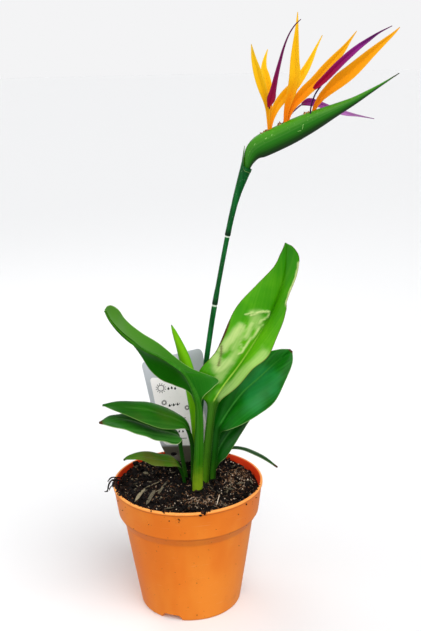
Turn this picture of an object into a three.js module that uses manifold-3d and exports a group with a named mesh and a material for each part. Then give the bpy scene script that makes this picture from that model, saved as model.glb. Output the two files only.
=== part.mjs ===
// A bird of paradise in flower, growing in a 13 cm plastic nursery pot, with its plant label.
// Millimetres, +Z up. The origin is the centre of the pot's flat bottom. The plant faces -Y.

import * as THREE from 'three';
import { mergeVertices } from 'three/addons/utils/BufferGeometryUtils.js';
import Module from 'manifold-3d';

const wasm = await Module();
wasm.setup();

// Clearance between two pieces that touch on the real plant, and between two round walls of
// different facet counts.
const GAP = 0.35;
const FACET_GAP = 0.75;

// Pot: outer radii and heights.
const RIM_RADIUS = 65;
const POT_HEIGHT = 112;
const COLLAR_FOOT_RADIUS = 61.2;
const COLLAR_FOOT_Z = 86;
const NECK_RADIUS = 56.2;
const NECK_Z = 78;
const BASE_RADIUS = 44.3;
const WALL = 1.6;
const FLOOR = 1.6;
const LIP_HEIGHT = 3;
const LIP_OVERHANG = 0.7;
const LIP_INNER_RADIUS = 62.7;
const POT_SEGMENTS = 48;

// Drain pockets: channels that leave the bottom edge of the wall and run inwards under the floor.
const POCKET_COUNT = 3;
const POCKET_FIRST_ANGLE = -113;
const POCKET_WIDTH = 18;
const POCKET_HEIGHT = 5;
const POCKET_CHAMFER = 2.5;
const POCKET_INNER_RADIUS = 31;
const POCKET_OVERRUN = 8;
const ROOF_TOP = 20;
const ROOF_BITE = 0.4;
const DRAIN_LENGTH = 10;
const DRAIN_WIDTH = 4;
const DRAIN_INSET = 6;

// Soil: mean level, the height of its crumbs, and the slope up towards the left of the rim.
const SOIL_LEVEL = 102.5;
const SOIL_CRUMB = 1.8;
const SOIL_LEFT_RISE = 6;
const SOIL_FRONT_RISE = 2;
const SOIL_EDGE_DROP = 4;
const SOIL_RINGS = 9;
const SOIL_SEGMENTS = 40;

// Bark chips on the soil.
const CHIP_COUNT = 7;
const CHIP_WIDTH = 3.5;
const CHIP_HEIGHT = 2.4;
const CHIP_MIN_LENGTH = 8;
const CHIP_MAX_LENGTH = 18;
const CHIP_MIN_RADIUS = 30;
const CHIP_MAX_RADIUS = 52;
const CHIP_TILT = 0.15;

// Blades: thickness, steps between two rows, and the half width of a midrib over its depth.
const BLADE = 0.8;
const STEPS_PER_ROW = 2;
const KEEL_ASPECT = 0.6;

// The rolled leaf and the flower stalk, with the sheath that holds the flower's beak.
const STALK_SIDES = 12;
const SPEAR_LAP = 0.14;
const SHEATH_DEPTH = 9;
const SHEATH_WALL = 0.7;
const SHEATH_TAPER = 1;
const SHEATH_POINT = 19;
const SHEATH_FLARE = 3;
const SHEATH_BACK = 0.2;

// The claw is the thin stem under a flower's arrow.
const CLAW_RADIUS = 0.7;
const CLAW_SIDES = 6;

// Plant label.
const LABEL_THICKNESS = 0.7;
const LABEL_FOOT_Y = 44;
const LABEL_FOOT_Z = 100;
const LABEL_LEAN = 3.3;
const LABEL_HOLE = { x: -12.3, z: 116, halfWidth: 3, halfHeight: 1.8 };

const FINISH = {
  pot: { color: 0xe8822d, roughness: 0.45 },
  soil: { color: 0x2b1d15, roughness: 0.95 },
  label: { color: 0xd9dbdc, roughness: 0.4 },
  leafBright: { color: 0x4c9a24, roughness: 0.35 },
  leafDark: { color: 0x1d6b2a, roughness: 0.35 },
  leafYoung: { color: 0x86b81f, roughness: 0.4 },
  stalk: { color: 0x1c6637, roughness: 0.45 },
  spathe: { color: 0x2f7d22, roughness: 0.4 },
  sepal: { color: 0xf5a012, roughness: 0.5 },
  arrow: { color: 0x7c1b62, roughness: 0.5 },
};

const vec = (p) => new THREE.Vector3(p[0], p[1], p[2]);
const smoothCurve = (points) => new THREE.CatmullRomCurve3(points, false, 'catmullrom', 0.5);

function indexedGeometry(points, faces) {
  const geometry = new THREE.BufferGeometry();
  const flat = points.flatMap((p) => [p.x, p.y, p.z]);
  geometry.setAttribute('position', new THREE.Float32BufferAttribute(flat, 3));
  geometry.setIndex(faces.flat());
  return geometry;
}

// Solids for joining and cutting

function welded(geometry) {
  const bare = geometry.clone();
  bare.deleteAttribute('normal');
  bare.deleteAttribute('uv');
  return mergeVertices(bare, 1e-4);
}

function toSolid(geometry) {
  const merged = welded(geometry);
  const index = merged.index.array;
  const kept = [];
  for (let i = 0; i < index.length; i += 3) {
    const [a, b, c] = [index[i], index[i + 1], index[i + 2]];
    if (a !== b && b !== c && c !== a) kept.push(a, b, c);
  }
  return new wasm.Manifold(new wasm.Mesh({
    numProp: 3,
    vertProperties: new Float32Array(merged.attributes.position.array),
    triVerts: new Uint32Array(kept),
  }));
}

function toGeometry(solid) {
  const mesh = solid.getMesh();
  const geometry = new THREE.BufferGeometry();
  geometry.setAttribute('position', new THREE.Float32BufferAttribute(mesh.vertProperties, 3));
  geometry.setIndex(Array.from(mesh.triVerts));
  return geometry;
}

function cut(geometry, cutters) {
  let solid = toSolid(geometry);
  for (const cutter of cutters) solid = solid.subtract(toSolid(cutter));
  return toGeometry(solid);
}

function join(geometries) {
  let solid = toSolid(geometries[0]);
  for (const other of geometries.slice(1)) solid = solid.add(toSolid(other));
  return toGeometry(solid);
}

// A closed body between rings of points, each end closed by a fan round the ring's middle.
function ringBody(rings) {
  const sides = rings[0].length;
  const points = rings.flat();
  const faces = [];
  for (let i = 0; i + 1 < rings.length; i++) {
    for (let j = 0; j < sides; j++) {
      const k = (j + 1) % sides;
      const [a, b, c, d] = [i * sides + j, i * sides + k, (i + 1) * sides + k, (i + 1) * sides + j];
      faces.push([a, b, c], [a, c, d]);
    }
  }
  const middle = (ring) => ring.reduce((sum, p) => sum.add(p), new THREE.Vector3()).divideScalar(sides);
  const first = points.push(middle(rings[0])) - 1;
  const last = points.push(middle(rings[rings.length - 1])) - 1;
  const top = (rings.length - 1) * sides;
  for (let j = 0; j < sides; j++) {
    const k = (j + 1) % sides;
    faces.push([first, k, j], [last, top + j, top + k]);
  }
  return indexedGeometry(points, faces);
}

// Blades: a leaf, sepal or petal is one sheet with a midrib under it

// A closed sheet from a grid of points, thickened to both sides. Both faces are split alike.
function sheetBody(grid, above, below) {
  const rows = grid.length;
  const columns = grid[0].length;
  const at = (i, j) => grid[Math.min(Math.max(i, 0), rows - 1)][Math.min(Math.max(j, 0), columns - 1)];
  const top = [];
  const bottom = [];
  for (let i = 0; i < rows; i++) {
    for (let j = 0; j < columns; j++) {
      const across = at(i, j + 1).clone().sub(at(i, j - 1));
      const along = at(i + 1, j).clone().sub(at(i - 1, j));
      const normal = across.cross(along).normalize();
      top.push(at(i, j).clone().addScaledVector(normal, above));
      bottom.push(at(i, j).clone().addScaledVector(normal, -below[i][j]));
    }
  }
  const t = (i, j) => i * columns + j;
  const b = (i, j) => rows * columns + i * columns + j;
  const faces = [];
  for (let i = 0; i + 1 < rows; i++) {
    for (let j = 0; j + 1 < columns; j++) {
      faces.push([t(i, j), t(i, j + 1), t(i + 1, j + 1)], [t(i, j), t(i + 1, j + 1), t(i + 1, j)]);
      faces.push([b(i, j), b(i + 1, j + 1), b(i, j + 1)], [b(i, j), b(i + 1, j), b(i + 1, j + 1)]);
    }
    const e = columns - 1;
    faces.push([t(i, 0), t(i + 1, 0), b(i + 1, 0)], [t(i, 0), b(i + 1, 0), b(i, 0)]);
    faces.push([t(i, e), b(i + 1, e), t(i + 1, e)], [t(i, e), b(i, e), b(i + 1, e)]);
  }
  const m = rows - 1;
  for (let j = 0; j + 1 < columns; j++) {
    faces.push([t(0, j), b(0, j), b(0, j + 1)], [t(0, j), b(0, j + 1), t(0, j + 1)]);
    faces.push([t(m, j), b(m, j + 1), b(m, j)], [t(m, j), t(m, j + 1), b(m, j + 1)]);
  }
  return indexedGeometry([...top, ...bottom], faces);
}

// Each row is a point of the rib, the offsets of the left and right margins from it, and the
// depth of the stem or midrib below it. Left and right are as seen on the upper face, tip up.
// A plain blade has fewer points across it.
function blade(rows, { bulge = 0.1, steps = STEPS_PER_ROW, grow = 0, plain = false } = {}) {
  const rib = smoothCurve(rows.map((row) => vec(row[0])));
  const left = smoothCurve(rows.map((row) => vec(row[1])));
  const right = smoothCurve(rows.map((row) => vec(row[2])));
  const keel = smoothCurve(rows.map((row) => new THREE.Vector3(row[3], 0, 0)));
  const count = (rows.length - 1) * steps;
  const grid = [];
  const below = [];
  for (let i = 0; i <= count; i++) {
    const u = i / count;
    const centre = rib.getPoint(u);
    const along = rib.getTangent(u);
    if (i === 0) centre.addScaledVector(along, -grow);
    const depth = keel.getPoint(u).x + 2 * grow;
    const keelHalf = depth * KEEL_ASPECT;
    const half = (curve, side) => {
      const margin = curve.getPoint(u);
      const width = margin.length() + grow;
      margin.setLength(width);
      const up = margin.clone().cross(along).multiplyScalar(side).normalize();
      const inner = Math.min(keelHalf, 0.85 * width);
      const outer = width - inner;
      const places = plain ? [0.5 * width, width] : [0.75 * inner, inner + 0.4 * outer, width];
      return places.map((y) => {
        const x = y / width;
        const crown = bulge * width * 4 * x * (1 - x) * Math.min(1, outer / inner);
        return {
          point: centre.clone().addScaledVector(margin, x).addScaledVector(up, crown),
          depth: depth * Math.sqrt(Math.max(0, 1 - (y / inner) ** 2)),
        };
      });
    };
    const line = [...half(left, -1).reverse(), { point: centre, depth }, ...half(right, 1)];
    grid.push(line.map((item) => item.point));
    below.push(line.map((item) => item.depth + BLADE / 2 + grow));
  }
  return sheetBody(grid, BLADE / 2 + grow, below);
}

// A sepal or petal: each row is a point of the rib and the half width there.
// The face looks one way and the two halves fold up towards it.
function petal(rows, face, fold, { keel = 1, grow = 0 } = {}) {
  const points = rows.map((row) => vec(row));
  const curve = smoothCurve(points);
  const angle = THREE.MathUtils.degToRad(fold);
  const full = points.map((point, i) => {
    const along = curve.getTangent(i / (points.length - 1));
    const across = along.clone().cross(vec(face)).normalize();
    const up = across.clone().cross(along);
    const half = rows[i][3];
    const offset = (side) => across.clone().multiplyScalar(side * half * Math.cos(angle))
      .addScaledVector(up, half * Math.sin(angle)).toArray();
    return [point.toArray(), offset(-1), offset(1), Math.min(keel, half)];
  });
  return blade(full, { bulge: 0.05, grow, plain: true });
}

// Pot

function drainPocket(radius, margin) {
  const half = POCKET_WIDTH / 2 + margin;
  const top = POCKET_HEIGHT + margin;
  const chamfer = POCKET_CHAMFER;
  const outline = new THREE.Shape();
  outline.moveTo(-half, -1);
  outline.lineTo(half, -1);
  outline.lineTo(half, top - chamfer);
  outline.lineTo(half - chamfer, top);
  outline.lineTo(chamfer - half, top);
  outline.lineTo(-half, top - chamfer);
  outline.closePath();
  const depth = BASE_RADIUS + POCKET_OVERRUN - radius;
  const body = new THREE.ExtrudeGeometry(outline, { depth, bevelEnabled: false });
  body.rotateX(Math.PI / 2);
  body.rotateZ(Math.PI);
  body.translate(0, radius, 0);
  return body;
}

function aroundPot(make) {
  return Array.from({ length: POCKET_COUNT }, (_, i) => {
    const turn = THREE.MathUtils.degToRad(POCKET_FIRST_ANGLE - 90 + (i * 360) / POCKET_COUNT);
    return make().rotateZ(turn);
  });
}

function lathe(profile, segments) {
  const points = profile.map(([r, z]) => new THREE.Vector2(r, z));
  return new THREE.LatheGeometry(points, segments).rotateX(Math.PI / 2);
}

const innerRadius = (z) => {
  const share = (z - FLOOR) / (NECK_Z - FLOOR);
  return THREE.MathUtils.lerp(BASE_RADIUS - WALL, NECK_RADIUS - WALL, share);
};

function potGeometry() {
  const shell = lathe([
    [0, 0],
    [BASE_RADIUS - 1.4, 0],
    [BASE_RADIUS - 0.3, 0.5],
    [BASE_RADIUS, 1.6],
    [NECK_RADIUS, NECK_Z],
    [COLLAR_FOOT_RADIUS, COLLAR_FOOT_Z],
    [RIM_RADIUS - LIP_OVERHANG, POT_HEIGHT - LIP_HEIGHT],
    [RIM_RADIUS, POT_HEIGHT - LIP_HEIGHT + 0.8],
    [RIM_RADIUS, POT_HEIGHT - 0.6],
    [RIM_RADIUS - 0.6, POT_HEIGHT],
    [RIM_RADIUS - 1.8, POT_HEIGHT],
    [LIP_INNER_RADIUS, POT_HEIGHT - 0.8],
    [COLLAR_FOOT_RADIUS - WALL, COLLAR_FOOT_Z],
    [NECK_RADIUS - WALL, NECK_Z],
    [BASE_RADIUS - WALL, FLOOR],
    [0, FLOOR],
  ], POT_SEGMENTS);
  const inside = lathe([
    [0, ROOF_BITE],
    [innerRadius(0) + ROOF_BITE, ROOF_BITE],
    [innerRadius(ROOF_TOP) + ROOF_BITE, ROOF_TOP],
    [0, ROOF_TOP],
  ], POT_SEGMENTS);
  let solid = toSolid(shell);
  for (const roof of aroundPot(() => drainPocket(POCKET_INNER_RADIUS - WALL, WALL))) {
    solid = solid.add(toSolid(roof).intersect(toSolid(inside)));
  }
  const hollows = aroundPot(() => drainPocket(POCKET_INNER_RADIUS, 0));
  const drains = aroundPot(() => new THREE.BoxGeometry(DRAIN_LENGTH, DRAIN_WIDTH, 2 * POCKET_HEIGHT)
    .translate(0, POCKET_INNER_RADIUS + DRAIN_INSET, POCKET_HEIGHT));
  for (const hole of [...hollows, ...drains]) solid = solid.subtract(toSolid(hole));
  return toGeometry(solid);
}

// Soil

const noise = (x, y, seed) => {
  const s = Math.sin(x * 127.1 + y * 311.7 + seed * 74.7) * 43758.5453;
  return s - Math.floor(s);
};

function crumbs(x, y, size, seed) {
  const [gx, gy] = [Math.floor(x / size), Math.floor(y / size)];
  const [fx, fy] = [x / size - gx, y / size - gy].map((f) => f * f * (3 - 2 * f));
  const low = THREE.MathUtils.lerp(noise(gx, gy, seed), noise(gx + 1, gy, seed), fx);
  const high = THREE.MathUtils.lerp(noise(gx, gy + 1, seed), noise(gx + 1, gy + 1, seed), fx);
  return THREE.MathUtils.lerp(low, high, fy) - 0.5;
}

function soilHeight(x, y) {
  const radius = Math.hypot(x, y) / RIM_RADIUS;
  const slope = SOIL_LEFT_RISE * Math.max(0, -x / RIM_RADIUS) - (SOIL_FRONT_RISE * y) / RIM_RADIUS;
  const lumps = 2 * SOIL_CRUMB * crumbs(x, y, 14, 1) + 1.6 * SOIL_CRUMB * crumbs(x, y, 6, 2);
  return SOIL_LEVEL + slope + lumps * (1 - 0.4 * radius);
}

function soilGeometry(cutters) {
  const top = SOIL_LEVEL;
  const share = (top - COLLAR_FOOT_Z) / (POT_HEIGHT - COLLAR_FOOT_Z);
  const edge = THREE.MathUtils.lerp(COLLAR_FOOT_RADIUS - WALL, LIP_INNER_RADIUS, share) - FACET_GAP;
  const profile = [
    [0, FLOOR + GAP],
    [innerRadius(FLOOR) - FACET_GAP, FLOOR + GAP],
    [innerRadius(NECK_Z) - FACET_GAP, NECK_Z],
    [COLLAR_FOOT_RADIUS - WALL - FACET_GAP, COLLAR_FOOT_Z],
    [edge, top - SOIL_EDGE_DROP],
  ];
  for (let ring = 0; ring <= SOIL_RINGS; ring++) profile.push([edge * (1 - ring / SOIL_RINGS), top]);
  const body = welded(lathe(profile, SOIL_SEGMENTS));
  const place = body.attributes.position;
  for (let i = 0; i < place.count; i++) {
    if (place.getZ(i) > top - 1) place.setZ(i, soilHeight(place.getX(i), place.getY(i)));
  }
  const chips = Array.from({ length: CHIP_COUNT }, (_, i) => {
    const turn = (200 + i * 137.5) * (Math.PI / 180);
    const radius = THREE.MathUtils.lerp(CHIP_MIN_RADIUS, CHIP_MAX_RADIUS, noise(i, 3, 5));
    const length = THREE.MathUtils.lerp(CHIP_MIN_LENGTH, CHIP_MAX_LENGTH, noise(i, 5, 6));
    const [x, y] = [radius * Math.cos(turn), radius * Math.sin(turn)];
    return new THREE.BoxGeometry(length, CHIP_WIDTH, CHIP_HEIGHT)
      .rotateY(CHIP_TILT * (1 - 2 * noise(i, 7, 7)))
      .rotateZ(Math.PI * noise(i, 9, 8))
      .translate(x, y, soilHeight(x, y) + 0.2);
  });
  const pockets = aroundPot(() => drainPocket(POCKET_INNER_RADIUS - WALL - GAP, WALL + GAP));
  return cut(join([body, ...chips]), [...pockets, ...cutters]);
}

// Leaves. Each starts with the rows of its stem and goes on to the tip of the blade.

const LEAVES = {
  // Its blade arches to the left and turns the pale underside and the midrib to the front.
  leaf_front: {
    finish: 'leafBright',
    bulge: 0.1,
    rows: [
      [[7.8, 1.5, 88], [4.4, 2, 0], [-4.4, 2, 0], 7],
      [[8.4, 1.5, 110], [4.6, 2, 0], [-4.6, 2, 0], 7],
      [[10.2, 0.5, 140], [3.7, 1.8, 0], [-3.7, 1.8, 0], 6.4],
      [[11.2, -2, 172], [2.9, 1.6, 0], [-2.9, 1.6, 0], 5.4],
      [[9.5, -4, 188], [5, 2, -1], [-3.5, 2.5, -1], 4.8],
      [[5, -7, 201], [19, 8, -6], [-5, 8, -7], 4.2],
      [[-1, -11, 213], [29, 16, -12], [-8, 15, -16], 3.4],
      [[-10, -14, 222], [14, 17, -9], [-10, 15, -19], 2.7],
      [[-21, -18, 230], [2, 17, 5], [-8, 15, -16], 2.2],
      [[-31, -23, 237], [-4, 15, 11], [-4, 15, -11], 1.9],
      [[-43, -29, 247.5], [-3, 13, 14], [0, 13, -5], 1.6],
      [[-51.5, -35, 258], [0, 10, 14.5], [-1, 10, 0], 1.3],
      [[-57.5, -39, 268], [1.5, 6, 10.5], [-1, 6, 2], 1],
      [[-60.5, -42, 276.5], [1.5, 2, 3], [-0.5, 2, 1], 0.8],
    ],
  },
  // The tallest leaf stands behind and shows its upper face.
  leaf_tall: {
    finish: 'leafBright',
    bulge: 0.08,
    rows: [
      [[13.8, 6.6, 88], [-3.2, -1, 0], [3.2, -1, 0], 5.4],
      [[15, 6.6, 110], [-3.4, -1, 0], [3.4, -1, 0], 5.6],
      [[18, 6, 140], [-3.6, -1, 0], [3.6, -1, 0], 5.6],
      [[21, 4.5, 165], [-3.4, -1, 0.5], [3.4, -1, -0.5], 5.4],
      [[23, 4.5, 178], [-5, 1, 1], [4, -2.5, -1], 5],
      [[27, 5, 186], [-15, 4, 1], [3, -7, -2], 4.4],
      [[35, 7, 197], [-23, 4, 9], [6, -13, -2], 3.8],
      [[48, 10, 213], [-21, 2, 11], [8, -18, -1], 3.2],
      [[62, 14, 233], [-23.5, 1, 16], [9, -19, -8], 2.6],
      [[74, 18, 252], [-26, 1, 12], [7.5, -17, -6], 2.2],
      [[82, 21, 270], [-19, 1, 8.5], [7, -12, -3], 1.8],
      [[87, 23, 287], [-9.5, 0, 6.5], [10, -7, 0], 1.4],
      [[88.5, 24, 302], [-4.6, 0, 3], [10.8, -4, -0.5], 1.1],
      [[88.8, 24, 309.5], [-2.2, 0, 1.6], [6, -2, 0.5], 0.9],
      [[88.4, 24, 313.6], [-1, 0, 0.2], [1, 0, -0.6], 0.8],
    ],
  },
  // A broad dark leaf on the right.
  leaf_right: {
    finish: 'leafDark',
    bulge: 0.1,
    rows: [
      [[20.8, 11, 88], [-2.6, -0.6, 0], [2.6, -0.6, 0], 4.4],
      [[22, 11, 110], [-2.6, -0.6, 0], [2.6, -0.6, 0], 4.4],
      [[24.8, 11, 136], [-2.8, -0.6, 0], [2.8, -0.6, 0], 4.4],
      [[27, 12.5, 151], [-4, 1.5, 1], [3, -1.5, -2], 4.2],
      [[32, 14, 160], [-8, 5, 5], [5, -6, -7], 3.6],
      [[41, 18, 172], [-13, 7, 11], [8, -10, -14], 3],
      [[52, 24, 183], [-13, 7, 14], [12, -12, -18], 2.5],
      [[66, 30, 193], [-12, 6, 13], [12, -12, -19], 2],
      [[79, 35, 203], [-9, 4, 9], [9, -10, -13], 1.6],
      [[89, 38, 210], [-5, 2, 5], [6, -6, -6], 1.2],
      [[95, 39, 214], [-1, 0.5, 1], [1, -0.5, -1], 0.8],
    ],
  },
  // A leaf half hidden under the right one.
  leaf_under_right: {
    finish: 'leafDark',
    bulge: 0.08,
    rows: [
      [[19.5, 19.5, 88], [-2.5, 0, 0], [2.5, 0, 0], 4],
      [[21.3, 19.5, 106], [-2.5, 0, 0], [2.5, 0, 0], 4],
      [[24.5, 20.5, 119], [-4, 2, 1], [4, -2, -2], 3.6],
      [[29, 23, 130], [-6, 6, 6], [6, -4, -7], 3],
      [[36, 28, 139], [-7, 7, 9], [7, -4, -6], 2.4],
      [[45, 34, 147], [-7, 6, 9], [5, -3, -6], 2],
      [[55, 40, 153], [-6, 4, 7], [3, -2, -3], 1.5],
      [[65, 44, 158], [-1, 1, 1], [1, -1, -1], 0.8],
    ],
  },
  // Two leaves that reach out low to the left, one above the other.
  leaf_upper_left: {
    finish: 'leafDark',
    bulge: 0.08,
    rows: [
      [[5.2, 7.6, 88], [0.8, -2.2, 0], [-0.8, 2.2, 0], 2.4],
      [[5.2, 7.6, 110], [0.8, -2.2, 0], [-0.8, 2.2, 0], 2.4],
      [[5.6, 7.2, 135], [0.8, -2.2, 0], [-0.8, 2.2, 0], 2.4],
      [[3.5, 5, 152], [1, -2.2, 0], [0, 2.2, 1], 2.6],
      [[-1, 0.5, 163], [0, -4, -3], [1, 6, 1], 2.5],
      [[-8, -5.5, 170], [-1, -8, -6], [1, 11, 1], 2.3],
      [[-20, -13, 178], [-1, -10, -9], [1, 14, 1], 2],
      [[-32, -20, 185], [-1, -9, -9], [1, 13, 2], 1.7],
      [[-45, -27, 190], [-1, -7, -5], [1, 11, 1], 1.4],
      [[-57, -34, 195], [0, -3, -4], [1, 7, 1], 1.1],
      [[-67, -38, 197], [0.3, -1, 0], [0, 1, 0.3], 0.8],
    ],
  },
  leaf_lower_left: {
    finish: 'leafDark',
    bulge: 0.08,
    rows: [
      [[0.2, 15.8, 88], [0.8, -2.1, 0], [-0.8, 2.1, 0], 2.8],
      [[-0.9, 15.6, 108], [0.8, -2.1, 0], [-0.8, 2.1, 0], 2.8],
      [[-3.2, 14, 124], [0.9, -2.1, 0], [-0.9, 2.1, 0], 2.6],
      [[-5, 10.5, 139], [1, -2.1, 0], [-1, 2.1, 0], 2.5],
      [[-7, 5, 150], [3, -4, -2], [0, 4, 1], 2.4],
      [[-13, -2, 156], [5, -8, -7], [1, 11, 2], 2.2],
      [[-25, -9, 163], [5, -9, -8], [1, 14, 2], 1.9],
      [[-37, -16, 171], [5, -9, -9], [0, 14, 1], 1.6],
      [[-49, -23, 178], [4, -8, -8], [0, 12, 1], 1.4],
      [[-60, -30, 182], [2, -5, -6], [-1, 8, 0], 1.1],
      [[-71, -35, 181], [0.5, -1, -0.8], [0, 1, 0], 0.8],
    ],
  },
  // A small low leaf beside them.
  leaf_low: {
    finish: 'leafDark',
    bulge: 0.08,
    rows: [
      [[-1.4, 10.2, 88], [0.5, -1.8, 0], [-0.5, 1.8, 0], 2.2],
      [[-2.2, 10, 104], [0.5, -1.8, 0], [-0.5, 1.8, 0], 2.2],
      [[-4.5, 8.8, 115], [0.6, -1.8, 0], [-0.6, 1.8, 0], 2.2],
      [[-9, 5.5, 124.5], [1, -3, -2], [0, 3, 1], 2.1],
      [[-17, 2, 129], [-1, -6, -3], [0, 7, 2], 1.8],
      [[-28, -4, 134], [0, -6, -4], [1, 7, 2], 1.5],
      [[-39, -10, 139], [0, -4, -2], [0, 6, 2], 1.2],
      [[-49, -14, 140], [0, -2, -1], [0, 3, 1], 1],
      [[-54, -16, 139], [0, -0.9, 0], [0, 0.9, 0.3], 0.8],
    ],
  },
  // A narrow leaf that comes from behind and droops over the rim on the right.
  leaf_narrow: {
    finish: 'leafDark',
    bulge: 0.05,
    rows: [
      [[18.5, 29, 88], [-0.6, -1.4, 0], [0.6, 1.4, 0], 1.8],
      [[19.8, 29.5, 104], [-0.6, -1.4, 0], [0.6, 1.4, 0], 1.8],
      [[24.5, 32.5, 114.5], [-0.3, -1.5, 0], [0.3, 1.5, 0], 1.7],
      [[32, 36.5, 120.5], [0, -1.8, -0.4], [0, 2, 0], 1.5],
      [[41, 38.5, 123], [0, -2, -0.6], [0, 2.4, 0.2], 1.3],
      [[51, 38, 122], [-0.4, -2, -0.8], [0.4, 2.4, 0.4], 1.2],
      [[61, 35, 118.8], [-0.8, -2, -0.9], [0.8, 2.2, 0.5], 1.1],
      [[71, 30.5, 114.5], [-0.8, -1.6, -0.8], [0.8, 1.8, 0.5], 1],
      [[81, 25.5, 108], [-0.3, -0.8, -0.2], [0.3, 0.8, 0.2], 0.8],
    ],
  },
};

// The newest leaf is still rolled up: a spear with the edge of the roll showing down its side.
const SPEAR_ROWS = [
  [[8, 14, 88], 3.7],
  [[8.5, 13.5, 112], 3.7],
  [[9, 12.5, 140], 4],
  [[8.5, 12, 165], 4.6],
  [[6.5, 11.5, 185], 5.2],
  [[4, 11, 202], 5.4],
  [[0.5, 10.5, 218], 4.8],
  [[-3.5, 10, 231], 3.4],
  [[-7.5, 9.5, 242], 2],
  [[-10, 9, 249], 0.7],
];

// A round body that follows a list of [point, radius] rows.
function roundBody(rows, { sides = STALK_SIDES, steps = STEPS_PER_ROW, grow = 0, lap = 0 } = {}) {
  const centre = smoothCurve(rows.map((row) => vec(row[0])));
  const radius = smoothCurve(rows.map((row) => new THREE.Vector3(row[1], 0, 0)));
  const count = (rows.length - 1) * steps;
  const rings = [];
  for (let i = 0; i <= count; i++) {
    const along = centre.getTangent(i / count);
    const across = new THREE.Vector3(0, 1, 0).cross(along).normalize();
    const out = along.clone().cross(across);
    const middle = centre.getPoint(i / count);
    if (i === 0) middle.addScaledVector(along, -grow);
    const size = radius.getPoint(i / count).x + grow;
    rings.push(Array.from({ length: sides }, (_, j) => {
      const turn = (j / sides) * 2 * Math.PI;
      const reach = size * (1 + lap * (0.5 - j / (sides - 1)));
      return middle.clone()
        .addScaledVector(across, reach * Math.cos(turn))
        .addScaledVector(out, reach * Math.sin(turn));
    }));
  }
  return ringBody(rings);
}

// Flower stalk: a slim stem with two joints, which ends in the sheath that holds the flower's beak

const STALK_LINE = smoothCurve([
  [10.5, 21.5, 88], [11, 21.5, 112], [12, 22, 148], [13.8, 23, 176], [19.5, 24, 215],
  [27.5, 24, 263], [39.5, 24, 322.5], [46.5, 24, 351], [53, 24, 370.5], [57, 24, 381],
].map(vec));
// Share of the stalk's length, and radius there.
const STALK_RADII = [
  [0, 2.6], [0.3, 2.4], [0.44, 2.3],
  [0.575, 2.35], [0.585, 2.05], [0.594, 2.5], [0.62, 2.35], [0.64, 1.95],
  [0.78, 2.05], [0.786, 1.85], [0.794, 2.5], [0.82, 2.35], [0.88, 2.6],
  [0.92, 3.2], [0.955, 4.1], [0.99, 4.9],
];

function stalkGeometry({ grow = 0 } = {}) {
  const ring = (share, radius, rise) => {
    const middle = STALK_LINE.getPointAt(share);
    const along = STALK_LINE.getTangentAt(share);
    const across = new THREE.Vector3(0, 1, 0).cross(along).normalize();
    const out = along.clone().cross(across);
    return Array.from({ length: STALK_SIDES }, (_, j) => {
      const turn = (j / STALK_SIDES) * 2 * Math.PI;
      const left = Math.max(0, -Math.cos(turn)) ** 3;
      return middle.clone()
        .addScaledVector(across, radius * Math.cos(turn) - (SHEATH_FLARE * rise * left) / SHEATH_POINT)
        .addScaledVector(out, radius * Math.sin(turn))
        .addScaledVector(along, rise * (left - SHEATH_BACK));
    });
  };
  const length = STALK_LINE.getLength();
  const outer = STALK_RADII.map(([share, radius], i) => {
    const rise = i === STALK_RADII.length - 1 ? SHEATH_POINT : 0;
    return ring(share, radius + grow, rise);
  });
  if (grow > 0) return ringBody(outer);
  const [lipShare, lipRadius] = STALK_RADII[STALK_RADII.length - 1];
  const inner = [
    ring(lipShare, lipRadius - SHEATH_WALL, SHEATH_POINT - SHEATH_WALL),
    ring(lipShare - (0.5 * SHEATH_DEPTH) / length, lipRadius - SHEATH_WALL - 0.7 * SHEATH_TAPER, 0),
    ring(lipShare - SHEATH_DEPTH / length, lipRadius - SHEATH_WALL - 1.7 * SHEATH_TAPER, 0),
  ];
  return ringBody([...outer, ...inner]);
}

// Spathe: the beak, a stiff folded bract with a slit along its top
// Each row is a point of its middle line, the half height and the half width.

const SPATHE_ROWS = [
  [[54, 24, 371.5], 1.9, 1.9],
  [[56, 24, 377.5], 3, 2.8],
  [[58, 24, 383.5], 4.8, 3.7],
  [[61.8, 24, 390], 7.4, 4.9],
  [[68.3, 24, 394.6], 9.4, 6],
  [[80, 24, 399.8], 9.7, 6.8],
  [[93.6, 24, 405.9], 9.5, 6.9],
  [[110.6, 24, 413.8], 8, 6.2],
  [[126.3, 24, 421], 5.6, 4.7],
  [[141.6, 24, 428], 3.4, 3.1],
  [[151.5, 24, 433.3], 2.3, 2.2],
  [[165, 24, 441], 1.1, 1.1],
  [[180, 24, 450], 0.4, 0.4],
];
// Half of the section: across, and up, as shares of the half width and half height.
const SPATHE_SECTION = [
  [0, 0.74], [0.16, 0.98], [0.5, 0.93], [0.86, 0.55], [1, 0.05], [0.84, -0.5], [0.46, -0.84], [0, -1],
];

function spatheGeometry() {
  const centre = smoothCurve(SPATHE_ROWS.map((row) => vec(row[0])));
  const size = smoothCurve(SPATHE_ROWS.map((row) => new THREE.Vector3(row[1], row[2], 0)));
  const mirrored = SPATHE_SECTION.slice(1, -1).reverse().map(([x, y]) => [-x, y]);
  const section = [...SPATHE_SECTION, ...mirrored];
  const count = (SPATHE_ROWS.length - 1) * STEPS_PER_ROW;
  const rings = [];
  for (let i = 0; i <= count; i++) {
    const along = centre.getTangent(i / count);
    const across = new THREE.Vector3(0, -1, 0);
    const up = across.clone().cross(along).normalize();
    const middle = centre.getPoint(i / count);
    const half = size.getPoint(i / count);
    rings.push(section.map(([x, y]) => middle.clone()
      .addScaledVector(across, x * half.y)
      .addScaledVector(up, y * half.x)));
  }
  return ringBody(rings);
}

// Flowers: orange sepals that spring from one foot, and the purple arrow of petals on its claw

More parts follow.
